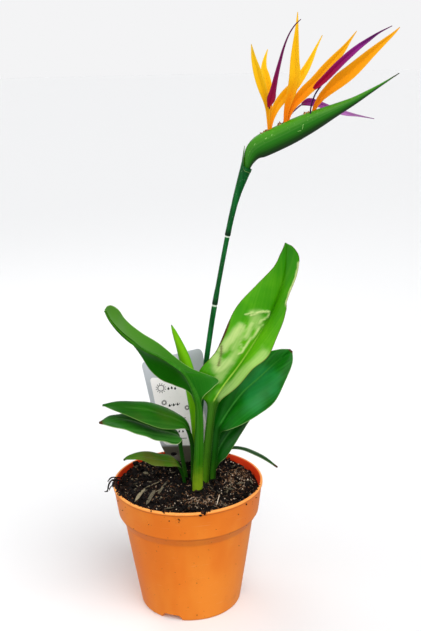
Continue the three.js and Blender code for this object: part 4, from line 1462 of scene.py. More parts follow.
    def wall_point(self, angle: float, height: float, proud: float) -> Vector:
        """Finds a place on the outside of the wall.

        Args:
            angle: The angle round the axis, in degrees.
            height: The height, in millimetres.
            proud: How far it stands out from the wall.

        Returns:
            The place.
        """
        lip = self.height - self.lip_height
        steps = [(0, self.base), (self.neck_height, self.neck), (self.collar_foot, self.collar),
                 (lip, self.rim - self.lip_overhang)]
        radius = self.rim
        for (low, inner), (high, outer) in zip(steps, steps[1:]):
            if low <= height < high:
                radius = blend(inner, outer, (height - low) / (high - low))
        return vec((*polar(radius + proud, math.radians(angle)), height))


# Soil

class Tint(Enum):
    """How light a piece of the soil is, from 0 to 1."""

    PEAT = 0.12
    BROWN = 0.38
    PALE = 1.0


@dataclass
class PottingSoil:
    """The soil: a lumpy bed, loose crumbs, bark chips and pale fibres, all in millimetres.

    A mound is its middle, its height and its width. A laid chip is its place, turn, length, width,
    tint and tilt. A speck is its angle round the pot, height and size, and more specks are a count,
    with the least and most of their height and size. A heap on the rim is its angle, spread, count,
    outer reach and largest size. A laid strand is its points, size and tint.
    """

    pot: NurseryPot
    level: float = 102.5
    left_rise: float = 4.0
    front_rise: float = 0.5
    back_rise: float = 7.0
    crumb_count: int = 5200
    big_crumb_count: int = 420
    small_chip_count: int = 130
    fibre_count: int = 1000
    bed_rings: int = 60
    bed_sides: int = 200
    clearance: float = 0.5
    bottom_gap: float = 5.5
    small_sizes: Pair = (0.3, 1)
    big_sizes: Pair = (1, 2.2)
    largest_pale: float = 0.7
    chip_lengths: Pair = (2.5, 6)
    chip_widths: Pair = (0.6, 1.5)
    chip_sides: int = 12
    chip_rings: int = 8
    fibre_lengths: Pair = (1.5, 6)
    fibre_radii: Pair = (0.1, 0.22)
    seed: int = 7
    mounds: tuple[tuple[float, float, float, float], ...] = (
        (11, 10, 1.6, 22), (44, 14, 3, 17), (10, -29, 2.4, 15), (-36, 19, 3, 9), (24, -10, -3, 13),
        (-8, -30, -2.2, 13), (-40, -20, 2.2, 14), (30, -38, 1.5, 9), (-12, 53, 6.5, 11))
    laid_chips: tuple[tuple[float, ...], ...] = (
        (-22.4, -1, 1.19, 21, 2.6, 0.6, -0.12), (-41.1, -22.6, 1.17, 18, 2.8, 1.05, -0.1),
        (-32.2, -24.1, 1.28, 21, 3.8, 0.5, -0.1), (-31.5, 1, 0.58, 15, 1.3, 0.9, -0.1),
        (-28.5, -9, 0.62, 13, 1.2, 0.8, -0.1), (-38, -12, 1.1, 11, 2, 0.4, 0.1),
        (-36.9, 19.2, 0.2, 5.5, 4.4, 0.8, 0.2), (-17, -40, 0.25, 9, 2.2, 0.35, 0),
        (-46, -2, 1.3, 12, 2.4, 0.4, 0.15), (36, -6, 2.4, 9, 2, 0.4, 0.1),
        (27, -36, 2.9, 9, 1.8, 0.5, 0.05), (46, 2, 0.4, 8, 2.2, 0.6, 0.1))
    specks: tuple[Point, ...] = (
        (-122, 97.5, 0.5), (-104.6, 104.4, 0.5), (-97.4, 106.6, 0.8), (-97, 105.2, 0.6), (-97.6, 103.8, 0.4),
        (-69.6, 93.7, 0.5), (-50.1, 101.4, 0.55), (-41.9, 107.4, 0.9), (-27.1, 106.2, 0.6), (-24.8, 105, 0.45),
        (-84.5, 40, 0.35), (-84.6, 6.1, 0.5), (-40, 64.9, 0.4), (-152, 99, 0.6), (-160, 104, 0.7),
        (-146, 105, 0.5))
    more_specks: tuple[tuple[float, ...], ...] = ((30, 80, 108, 0.15, 0.35), (10, 5, 78, 0.12, 0.25))
    heaps: tuple[tuple[float, float, int, float, float], ...] = (
        (-78.2, 3.4, 44, 65.6, 1.25), (-118.2, 2.6, 16, 65, 0.8), (-107.2, 2.6, 16, 65, 0.8),
        (-176, 8, 80, 65.2, 1.3), (-158, 12, 50, 64.8, 1), (-22, 8, 30, 64, 0.9), (-134, 9, 24, 64.2, 0.7),
        (100, 40, 40, 64, 0.8))
    strands: tuple[tuple[tuple[Point, ...], float, float], ...] = (
        (((-58, 3, 111), (-65.5, 0, 113.4), (-68.6, -3, 110.6), (-70, -5, 104.5)), 0.8, 0.3),
        (((-68.6, -4, 108), (-70, -5, 106), (-71.2, -6, 105.4), (-72.4, -7, 106)), 0.5, 0.25),
        (((-58, 8, 111), (-65.2, 5, 113.6), (-68.2, 3, 113), (-70, 2, 110.6)), 0.6, 0.2),
        (((-57, -5, 110), (-64, -8, 112.6), (-67, -10, 111), (-67.6, -11, 108.6)), 0.5, 0.3),
        (((22.7, -39.3, 104), (24, -35, 106), (25.5, -30, 108.4), (26.4, -27, 110)), 0.32, 1))

    @property
    def edge(self) -> float:
        """The radius of the soil at its surface."""
        return self.pot.lip_inner - 1.5

    def height(self, x: float, y: float) -> float:
        """Gives the height of the bed at a place.

        Args:
            x: The place along X.
            y: The place along Y.

        Returns:
            The height.
        """
        slope = self.left_rise * max(0, -x) + self.back_rise * max(0, y) + self.front_rise * max(0, -y)
        lumps = 2.2 * noise.noise(Vector((x / 15, y / 15, 1))) + 3.0 * noise.noise(Vector((x / 5.5, y / 5.5, 4)))
        grit = 1.3 * noise.noise(Vector((x / 2.1, y / 2.1, 9))) + 0.5 * noise.noise(Vector((x, y, 2)))
        rise = sum(high * (1 - smoothstep(0.2 * wide, wide, math.hypot(x - mx, y - my)))
                   for mx, my, high, wide in self.mounds)
        return self.level + slope / self.pot.rim + lumps + grit + rise

    def bed(self) -> Object:
        """Spins the body of the soil and raises its lumps.

        Returns:
            The bed.
        """
        pot, gap, bottom = self.pot, self.pot.wall + self.clearance, self.pot.wall + self.bottom_gap
        profile = [(0, bottom), (pot.base - gap, bottom), (pot.neck - gap, pot.neck_height),
                   (pot.collar - gap, pot.collar_foot), (self.edge, self.level - 4)]
        profile += [(self.edge * (1 - ring / self.bed_rings), self.level) for ring in range(self.bed_rings + 1)]
        bm = lathe(profile, self.bed_sides, "tint", 0)
        layer = bm.verts.layers.float["tint"]
        for vert in bm.verts:
            x, y, z = vert.co / MM
            if z > self.level - 1:
                vert.co.z = self.height(x, y) * MM
            vert[layer] = 0.16 + 0.3 * noise.noise(Vector((x / 9, y / 9, 20)))
        return finish(bm, "soil_bed", 180)

    def scatter(self, rng: Random) -> Pair:
        """Picks a place on the soil."""
        turn = rng.uniform(0, FULL_TURN)
        return polar(self.edge * math.sqrt(rng.uniform(0, 0.985)), turn)

    def crumb(self, bm: BMesh, rng: Random, centre: Vector, size: float, tint: float, fine: int = 1) -> None:
        """Adds one crumb: a rough lump.

        Args:
            bm: The mesh, which has the tint's layer.
            rng: The seeded source of chance.
            centre: Its middle, in metres.
            size: Its radius, in millimetres.
            tint: How light it is.
            fine: How finely its ball is divided.
        """
        layer = bm.verts.layers.float["tint"]
        made = bmesh.ops.create_icosphere(bm, subdivisions=fine, radius=1)["verts"]
        stretch = Vector((rng.uniform(0.6, 1.5), rng.uniform(0.6, 1.2), rng.uniform(0.45, 0.9))) * size * MM
        turn = Euler((rng.uniform(0, 6.3), rng.uniform(-0.5, 0.5), rng.uniform(0, 6.3)))
        shift = Vector((rng.uniform(0, 50), 0, 0))
        for vert in made:
            local = vert.co * (1 + 0.55 * noise.noise(vert.co * 1.7 + shift)) * stretch
            local.rotate(turn)
            vert.co = centre + local
            vert[layer] = tint

    @staticmethod
    def pick_tint(rng: Random, x: float, y: float) -> float:
        """Chooses a crumb's tint, browner and paler on the mounds at the right and the front.

        Args:
            rng: The seeded source of chance.
            x: The crumb's place along X.
            y: Its place along Y.

        Returns:
            The tint.
        """
        tan = max(1 - smoothstep(8, 20, math.hypot(x - 44, y - 14)), 1 - smoothstep(5, 14, math.hypot(x - 10, y + 28)))
        draw = rng.random()
        if draw < 0.11 + 0.2 * tan:
            return Tint.PALE.value - rng.uniform(0, 0.3)
        if draw < 0.38 + 0.3 * tan:
            return Tint.BROWN.value + rng.uniform(-0.05, 0.3)
        return Tint.PEAT.value + rng.uniform(-0.1, 0.2)

    def crumbs(self) -> Object:
        """Strews the crumbs over the bed.

        Returns:
            The crumbs.
        """
        rng = Random(self.seed)

        def add(bm: BMesh, index: int) -> None:
            """Adds a small crumb, or a large one at the end.

            Args:
                bm: The mesh.
                index: The crumb's number.
            """
            x, y = self.scatter(rng)
            big = index >= self.crumb_count
            size = rng.uniform(*(self.big_sizes if big else self.small_sizes))
            tint = Tint.PEAT.value + rng.uniform(-0.1, 0.2) if big else self.pick_tint(rng, x, y)
            size = min(size, self.largest_pale) if tint > 0.6 else size
            self.crumb(bm, rng, vec((x, y, self.height(x, y) + size * 0.4)), size, tint, 2 if big else 1)

        return gather("soil_crumbs", ("tint",), self.crumb_count + self.big_crumb_count, add)

    def clinging(self) -> Object:
        """Adds the crumbs on the rim and the specks on the pot's wall.

        Returns:
            The crumbs.
        """
        rng = Random(self.seed + 1)
        specks = [*self.specks]
        for count, low, high, small, large in self.more_specks:
            for _ in range(count):
                specks.append((rng.uniform(-180, 180), rng.uniform(low, high), rng.uniform(small, large)))
        shapes = [(self.pot.wall_point(angle, height, 0.1), size, rng.uniform(0.05, 0.4))
                  for angle, height, size in specks]
        for angle, spread, count, reach, most in self.heaps:
            for _ in range(count):
                turn, radius = math.radians(rng.gauss(angle, spread * 0.5)), rng.uniform(61.5, reach)
                size = rng.uniform(0.3, most)
                drop = 2.4 * max(0, radius - 64.6)
                centre = vec((*polar(radius, turn), self.pot.height + size * 0.3 - drop))
                shapes.append((centre, size, rng.uniform(0, 0.45)))
        return gather("clinging_crumbs", ("tint",), len(shapes),
                      lambda bm, index: self.crumb(bm, rng, *shapes[index]))

    def chip(self, bm: BMesh, rng: Random, laid: Sequence[float]) -> None:
        """Adds one splintered bark chip, of a flat, ragged section, that lies on the soil.

        Args:
            bm: The mesh, which has layers for the tint and across.
            rng: The seeded source of chance.
            laid: Its place, turn, length, width, tint and tilt.
        """
        x, y, turn, length, width, tint, tilt = laid
        shift = rng.uniform(0, 90)
        base = vec((x, y, self.height(x, y) + 1.2))
        spin = Euler((rng.uniform(-0.25, 0.25), tilt, turn))
        rings = []
        for u in [share - 0.5 for share in evenly(self.chip_rings)]:
            taper = 1 - (abs(u) * 2) ** 3 * 0.75
            row = []
            for angle in angles(self.chip_sides):
                rough = noise.noise(Vector((shift, u * 3, math.cos(angle) * 2)))
                half = width / 2 * taper * (1 + 0.3 * rough)
                thick = min(1, width * 0.28) * taper * (1 + 0.5 * rough)
                splinter = 0.3 * length * abs(u) * 2 * noise.noise(Vector((shift, angle * 2, 3)))
                local = Vector((u * length + splinter, math.cos(angle) * half, math.sin(angle) * thick))
                local.rotate(spin)
                row.append((base + local * MM, {"tint": tint, "across": math.cos(angle)}))
            rings.append(row)
        wrap(bm, rings)

    def chips(self) -> Object:
        """Lays the bark chips: a few large ones at the front left, and small ones all over.

        Returns:
            The chips.
        """
        rng = Random(self.seed + 2)
        laid = [*self.laid_chips]
        for _ in range(self.small_chip_count):
            x, y = self.scatter(rng)
            laid.append((x * 0.94, y * 0.94, rng.uniform(0, 3.14), rng.uniform(*self.chip_lengths),
                         rng.uniform(*self.chip_widths), rng.uniform(0, 0.8), rng.uniform(-0.35, 0.35)))
        return gather("bark_chips", ("tint", "across"), len(laid),
                      lambda bm, index: self.chip(bm, rng, laid[index]), 45, batch=20)

    def strand(self, rng: Random, x: float, y: float) -> list[Point]:
        """Draws a loose fibre.

        Args:
            rng: The seeded source of chance.
            x: The place of its middle along X.
            y: The place of its middle along Y.

        Returns:
            Its points.
        """
        length, turn = rng.uniform(*self.fibre_lengths), rng.uniform(0, FULL_TURN)
        points = []
        for k in range(4):
            dx, dy = polar((k / 3 - 0.5) * length, turn)
            px, py = x + dx + rng.uniform(-0.6, 0.6), y + dy + rng.uniform(-0.6, 0.6)
            inward = min(1, 0.97 * self.edge / math.hypot(px, py))
            px, py = px * inward, py * inward
            points.append((px, py, self.height(px, py) + 0.4 + rng.uniform(0, 1.1)))
        return points

    def fibres(self) -> Object:
        """Strews thin fibres, with a pale nest of them at the front and twigs over the left rim.

        Returns:
            The fibres.
        """
        rng = Random(self.seed + 3)
        strands = [*self.strands]
        for index in range(self.fibre_count):
            if index % 11 == 0:
                x, y, shade = -58 + rng.uniform(-4, 3), rng.uniform(-12, 14), rng.uniform(0.1, 0.5)
            elif index % 5 == 0:
                x, y, shade = 11 + rng.gauss(0, 7), -28 + rng.gauss(0, 5), rng.uniform(0.45, 0.95)
            elif index % 5 == 1:
                x, y, shade = 42 + rng.gauss(0, 7), 10 + rng.gauss(0, 9), rng.uniform(0.35, 0.85)
            else:
                (x, y), shade = self.scatter(rng), rng.uniform(0.05, 0.65)
            strands.append((self.strand(rng, x, y), rng.uniform(*self.fibre_radii), shade))

        def add(bm: BMesh, index: int) -> None:
            """Adds one of the fibres.

            Args:
                bm: The mesh.
                index: The fibre's number.
            """
            points, size, shade = strands[index]
            start = len(bm.verts)
            add_tube(bm, points, [size, size, size, size * 0.6], sides=5, steps=2)
            bm.verts.ensure_lookup_table()
            for vert in bm.verts[start:]:
                vert[bm.verts.layers.float["tint"]] = shade

        return gather("soil_fibres", ("tint", "across", "along", "edge"), len(strands), add, 80, batch=30)

    def build(self) -> None:
        """Makes the soil and all that lies on it."""
        settle(self.bed(), SoilMix("soil_peat").material(), "soil", "soil")
        for make, look in ((self.crumbs, SoilMix("soil_crumb", 500)), (self.clinging, SoilMix("soil_speck", 500)),
                           (self.chips, Bark()), (self.fibres, SoilMix("soil_fibre", 300))):
            settle(make(), look.material(), "soil")


# Label

@dataclass
class PlantLabel:
    """The care label: a thin plate that leans back and narrows to a foot in the soil."""

    thickness: float = 0.7
    foot_y: float = 44.0
    foot_z: float = 100.0
    lean: float = 3.3
    hole: tuple[float, float, float, float] = (-12.3, 116, 3, 1.8)
    print_height: float = 0.06
    print_depth: float = 0.02
    rounding: float = 0.12
    rounded_angle: float = 1.2

    @staticmethod
    def curve(start: Sequence[float], bend: Sequence[float], end: Sequence[float]) -> list[Pair]:
        """Rounds a corner at bend, and gives the points after its start."""
        a, b, c = Vector(start), Vector(bend), Vector(end)
        return [tuple(a.lerp(b, k / 8).lerp(b.lerp(c, k / 8), k / 8)) for k in range(1, 9)]

    def outline(self) -> list[Pair]:
        """Gives the plate's outline as X and Z.

        Returns:
            The outline.
        """
        return [
            (-13.5, 88), (-1.5, 88), (-1, 103), *self.curve((-1, 103), (1, 108), (12, 115)),
            *self.curve((12, 115), (22, 121), (23, 130)), (21, 160), (17, 208),
            *self.curve((17, 208), (16, 215.5), (11, 214.5)), (-34, 205),
            *self.curve((-34, 205), (-38.5, 204), (-38.2, 200)), (-34, 177.5), (-25.5, 131),
            *self.curve((-25.5, 131), (-24, 124), (-20.5, 118)), (-14.5, 103),
        ]

    def seat(self, x: float, z: float, proud: float) -> Vector:
        """Places a point of the plate.

        Args:
            x: Its place across the plate.
            z: Its height on the upright plate.
            proud: How far it stands before the plate's middle.

        Returns:
            The point.
        """
        lean, up = math.radians(self.lean), z - self.foot_z
        y = self.foot_y + up * math.sin(lean) - proud * math.cos(lean)
        return vec((x, y, self.foot_z + up * math.cos(lean) + proud * math.sin(lean)))

    def forward(self, step: float) -> Vector:
        """Gives a step to the front of the plate."""
        return self.seat(0, self.foot_z, step) - self.seat(0, self.foot_z, 0)

    def plate(self) -> Object:
        """Fills the outline round its hole and gives it its thickness.

        Returns:
            The plate.
        """
        bm = bmesh.new()
        x, z, wide, high = self.hole
        turns = [k * math.pi / 12 for k in range(24)]
        edges = []
        for loop in (self.outline(), [(x + wide * math.cos(turn), z + high * math.sin(turn)) for turn in turns]):
            verts = [bm.verts.new(self.seat(px, pz, -self.thickness / 2)) for px, pz in loop]
            edges += [bm.edges.new(pair) for pair in zip(verts, [*verts[1:], verts[0]])]
        filled = bmesh.ops.triangle_fill(bm, edges=edges, use_beauty=True, use_dissolve=False)["geom"]
        faces = [item for item in filled if isinstance(item, BMFace)]
        extrude(bm, faces, self.forward(self.thickness))
        bmesh.ops.recalc_face_normals(bm, faces=bm.faces[:])
        rim = [edge for edge in bm.edges if edge.calc_face_angle(0) > self.rounded_angle]
        bmesh.ops.bevel(bm, geom=rim, offset=self.rounding * MM, offset_type="OFFSET", affect="EDGES", segments=2,
                        profile=0.5, material=-1)
        return finish(bm, "plant_label_plate", 35)

    def printed(self, bm: BMesh, outline: Iterable[Sequence[float]]) -> None:
        """Adds a shape, outlined as X and Z, as a thin film of print on the front of the plate."""
        verts = [bm.verts.new(self.seat(x, z, self.thickness / 2 - self.print_depth)) for x, z in outline]
        extrude(bm, [bm.faces.new(verts)], self.forward(self.print_height + self.print_depth))

    def bar(self, bm: BMesh, x: float, z: float, length: float, width: float, turn: float) -> None:
        """Adds a printed bar.

        Args:
            bm: The mesh.
            x: The place of its middle across the plate.
            z: The height of its middle.
            length: Its length.
            width: Its width.
            turn: Its turn from the X direction, in radians.
        """
        half, wide = length / 2, width / 2
        corners = ((-half, -wide), (half, -wide), (half, wide), (-half, wide))
        self.printed(bm, [Matrix.Rotation(turn, 2) @ Vector(corner) + Vector((x, z)) for corner in corners])

    def sun(self, bm: BMesh, x: float, z: float, radius: float) -> None:
        """Adds a plain sun: a ring of short bars, and rays.

        Args:
            bm: The mesh.
            x: The place of its middle across the plate.
            z: The height of its middle.
            radius: Its radius.
        """
        rings = ((20, 0, 1, 0.34, 0.6, math.pi / 2), (12, 0.5, 1.5, 0.5, 0.55, 0))
        for count, first, reach, length, width, spin in rings:
            for k in range(count):
                turn = (k + first) / count * FULL_TURN
                dx, dz = polar(radius * reach, turn)
                self.bar(bm, x + dx, z + dz, radius * length, width, turn + spin)

    def drop(self, bm: BMesh, x: float, z: float, size: float) -> None:
        """Adds a plain water drop.

        Args:
            bm: The mesh.
            x: The place of its middle across the plate.
            z: The height of its middle.
            size: Its radius.
        """
        outline = []
        for turn in angles(16):
            wide, high = polar(1, turn)
            pull = max(0, high) ** 3
            outline.append((x + size * wide * (1 - 0.55 * pull), z + size * (high + 0.8 * pull)))
        self.printed(bm, outline)

    def symbols(self) -> Object:
        """Prints plain care symbols: a sun, drops, and a row of dots and bars.

        Returns:
            The print.
        """
        bm = bmesh.new()
        for sun in ((-22, 179.2, 2.7), (-19.5, 165.5, 1.5), (1.2, 160.1, 1.4)):
            self.sun(bm, *sun)
        for k in range(3):
            self.drop(bm, -15.2 + 3.0 * k, 178.4 + 0.6 * (k % 2), 0.95)
            self.drop(bm, -14.6 + 3.6 * k, 162.4 + 0.5 * k, 1)
            self.bar(bm, -13.0 + 3.6 * k, 163.0 + 0.5 * k, 1.8, 0.5, 0.9)
        for k in range(4):
            self.bar(bm, -17.5 + 5.2 * k, 150.5, 3.4, 0.6, 0)
            self.drop(bm, -13.5 + 3.4 * k, 137.5, 0.8)
        self.bar(bm, -6, 131, 12, 0.6, 0)
        bmesh.ops.recalc_face_normals(bm, faces=bm.faces[:])
        return finish(bm, "label_symbols", 30)

    def build(self) -> None:
        """Makes the plate and its print."""
        settle(self.plate(), LabelPlastic().material(), "label_plastic", "plant_label")
        ink = Plain("label_ink", (24, 22, 26), (44, 40, 46), 0.42)
        settle(self.symbols(), ink.material(), "label_plastic")


# Studio

@dataclass
class Studio:
    """A pale floor, soft light from above and the camera at the photograph's angle."""

    eye: Point = (0, -0.73356, 0.4584)
    target: Point = (0.02274, 0, 0.2588)
    focal_share: float = 915.66 / 631
    roll: float = -1.24
    sensor: float = 36.0
    floor_radius: float = 60.0
    floor_paint: Colour = (242, 242, 242)
    sky_stops: Stops = (
        (0.1, (170, 170, 170)), (0.45, (196, 196, 196)), (0.485, (244, 244, 245)), (0.545, (244, 244, 245)),
        (0.6, (146, 147, 149)), (1, (152, 153, 156)))
    lamps: tuple[tuple[str, str, Point, Point, float, float], ...] = (
        ("key", "SUN", (0.48, -0.65, 1.15), (0.03, 0, 0.25), 2.4, math.radians(55)),
        ("fill", "SUN", (-0.97, -0.8, 0.6), (0.03, 0, 0.25), 1.3, math.radians(90)),
        ("softbox", "AREA", (-0.5, 0.7, 1.3), (0.1, 0, 0.42), 5, 0.7))

    def camera(self) -> None:
        """Places the camera."""
        data = bpy.data.cameras.new("view")
        data.sensor_width, data.sensor_fit = self.sensor, "AUTO"
        data.lens = self.sensor * self.focal_share
        data.dof.use_dof = False
        made = bpy.data.objects.new("view", data)
        bpy.context.scene.collection.objects.link(made)
        eye = Vector(self.eye)
        turn = (Vector(self.target) - eye).to_track_quat("-Z", "Y").to_matrix().to_4x4()
        made.matrix_world = Matrix.Translation(eye) @ turn @ Matrix.Rotation(math.radians(self.roll), 4, "Z")
        bpy.context.scene.camera = made

    def floor(self) -> None:
        """Lays the floor as a wide disc."""
        bm = bmesh.new()
        bmesh.ops.create_circle(bm, cap_ends=True, segments=96, radius=self.floor_radius)
        floor = finish(bm, "studio_floor")
        floor.visible_diffuse = floor.visible_glossy = False
        g = Graph("studio_white")
        sockets = {"Base Color": paint(self.floor_paint), "Roughness": 0.9, "Specular IOR Level": 0.2}
        g.node("OutputMaterial", {}, {"Surface": g.out("BsdfPrincipled", {}, sockets)})
        floor.data.materials.append(g.owner)

    def sky(self) -> None:
        """Lights the room from all round: white near the horizon and softer above."""
        g = Graph("studio_room", bpy.data.worlds)
        bpy.context.scene.world = g.owner
        shade = g.ramp(g.axes("Generated")[2] * 0.5 + 0.5, self.sky_stops)
        g.node("OutputWorld", {}, {"Surface": g.out("Background", {}, {"Color": shade})})

    @staticmethod
    def lamp(name: str, kind: str, place: Point, aim: Point, power: float, size: float) -> None:
        """Hangs a lamp that points at a place.

        Args:
            name: The lamp's name.
            kind: SUN or AREA.
            place: Where it hangs.
            aim: Where it points.
            power: Its strength in Blender's own unit for its kind.
            size: A sun's angle in radians, or an area's side in metres.
        """
        data = bpy.data.lights.new(name, kind)
        data.energy = power
        setattr(data, "angle" if kind == "SUN" else "size", size)
        made = bpy.data.objects.new(name, data)
        made.location = place
        made.rotation_mode = "QUATERNION"
        made.rotation_quaternion = (Vector(aim) - Vector(place)).to_track_quat("-Z", "Y")
        bpy.context.scene.collection.objects.link(made)

    def build(self) -> None:
        """Sets up the studio."""
        self.floor()
        self.sky()
        for lamp in self.lamps:
            self.lamp(*lamp)
        view = bpy.context.scene.view_settings
        view.view_transform, view.look = "Standard", "None"
        self.camera()


# The plant

BRIGHT = LeafSkin(
    "leaf_bright_skin", upper=(56, 142, 0), fresh=(96, 176, 10), under=(130, 190, 70), rib=(176, 212, 84),
    margin=(96, 74, 16), stem=(36, 108, 8), stem_foot=(96, 152, 20), rib_share=0.85, rib_end=0.66, vein_share=0.04,
    stripe_share=0.1, edge_share=0.7, tip=(26, 112, 0), tip_share=0.75)
# Its underside is painted dark as shade, and its far half is painted lighter as a highlight where light falls from
# above.
FRONT = LeafSkin(
    "leaf_front_skin_finish", upper=(50, 122, 8), fresh=(82, 152, 24), under=(6, 96, 0), rib=(100, 170, 50),
    margin=(186, 216, 130), stem=(30, 96, 0), stem_foot=(150, 180, 34), rib_share=0.15, vein_share=0.1, far_highlight_share=0.85)
# Its bluish sheen colour is a painted reflection on the right leaf.
DARK = LeafSkin(
    "leaf_dark_skin", upper=(2, 80, 0), fresh=(10, 112, 8), under=(6, 78, 0), bloom=(40, 150, 76), rib=(64, 146, 50),
    stem=(8, 76, 2), edge_share=0.3, vein_share=0.1)
# A darker copy of the dark leaves' skin: painted shade for the leaf that lies under the others.
SHADED = LeafSkin(
    "leaf_shaded_skin", upper=(2, 58, 0), fresh=(8, 88, 6), under=(4, 60, 0), rib=(50, 120, 40), stem=(8, 66, 2),
    edge_share=0.3, vein_share=0.1)
LEFT = LeafSkin(
    "leaf_left_skin", upper=(16, 78, 4), fresh=(36, 102, 12), under=(20, 88, 4), rib=(90, 146, 60),
    margin=(150, 186, 100), stem=(10, 70, 2), blush_share=0.1, rib_share=0.15, edge_share=0.35, vein_share=0.1)
HOOKED = LeafSkin(
    "leaf_hooked_skin", upper=(12, 78, 8), fresh=(36, 104, 16), under=(20, 84, 6), rib=(110, 170, 90),
    margin=(180, 206, 140), stem=(10, 70, 2), rib_share=0.6, edge_share=0.6)
LOW = LeafSkin(
    "leaf_low_skin_finish", upper=(50, 94, 12), fresh=(74, 116, 26), under=(30, 82, 10), rib=(80, 126, 44),
    margin=(120, 140, 70), stem=(8, 56, 6), stem_foot=(26, 78, 12), blush=(116, 80, 44), blush_share=0.35,
    rib_share=0.15, edge_share=0.3)
NARROW = LeafSkin(
    "leaf_narrow_skin_finish", upper=(18, 62, 26), fresh=(50, 90, 58), under=(26, 64, 30), rib=(110, 140, 110),
    stem=(18, 64, 18), rib_share=0.3, edge_share=0.3, tip=(124, 146, 116), tip_share=0.7)
SPEAR = LeafSkin(
    "leaf_spear_skin", upper=(84, 160, 0), fresh=(120, 192, 0), under=(100, 160, 20), rib=(150, 200, 40),
    margin=(30, 88, 0), stem=(96, 150, 10), stem_foot=(180, 190, 80), roughness=0.37, gloss=0.05)

CREASES = (
    Mark(((173.5, -19.2), (179.1, -15.2)), 1.3, pale=0.8, lift=0.9),
    Mark(((174.9, -15.3), (180.4, -11.2), (183.1, -7.3), (184.8, -2.2)), 1.4, pale=0.9, lift=1),
    Mark(((184.8, -2.2), (180.4, -1), (176.3, -4.2), (171, -6)), 1.3, pale=0.8, lift=1),
    Mark(((178, -12), (170, -7)), 8, pale=0.35),
    Mark(((160, -17), (147, -19), (138, -20.5)), 6.5, pale=0.7, lift=1),
    Mark(((154, -13), (143, -13)), 4.5, pale=0.4, lift=0.6),
    Mark(((168, -10.6), (155.4, -8.8)), 3.2, pale=0.6, lift=0.8),
    Mark(((173, -2), (157.4, -4.2), (149.1, -5.2), (143.3, -4.8), (140.1, -6.8)), 1.3, pale=0.9, lift=1.2),
    Mark(((163.4, -15.2), (155.9, -14.8), (150.7, -12.2), (146.4, -7.1)), 1.5, pale=0.5, lift=-1.2),
    Mark(((130, -21), (122, -12.3), (131, -9)), 7, pale=0.6, lift=0.7),
    Mark(((140.6, -8.8), (114, -7.3)), 5.5, pale=0.4, lift=0.4),
    Mark(((139.6, -22.5), (134.2, -18.8), (124, -14.4)), 1.4, brown=0.7, lift=-1.4),
    Mark(((162.5, -30), (158.4, -28.2), (151.2, -26.4), (143.3, -24.9), (132, -24.4)), 1.9, brown=0.8, lift=0.6),
    Mark(((103, 5), (115, 11), (126, 12.5), (140, 16.8), (155, 18.6)), 9, pale=0.42),
    Mark(((199, 14.4), (208, 12.6), (214.3, 12), (222, 12), (230, 12.2)), 2.4, pale=0.9, lift=1.3),
)
# Painted reflection on the right leaf: two soft bluish patches where light glances off its face.
SHEEN = (
    Mark(((108, 12), (114, 5), (126, 1)), 17, bloom=0.6),
    Mark(((128, 15), (134, 11)), 11, bloom=0.55),
)

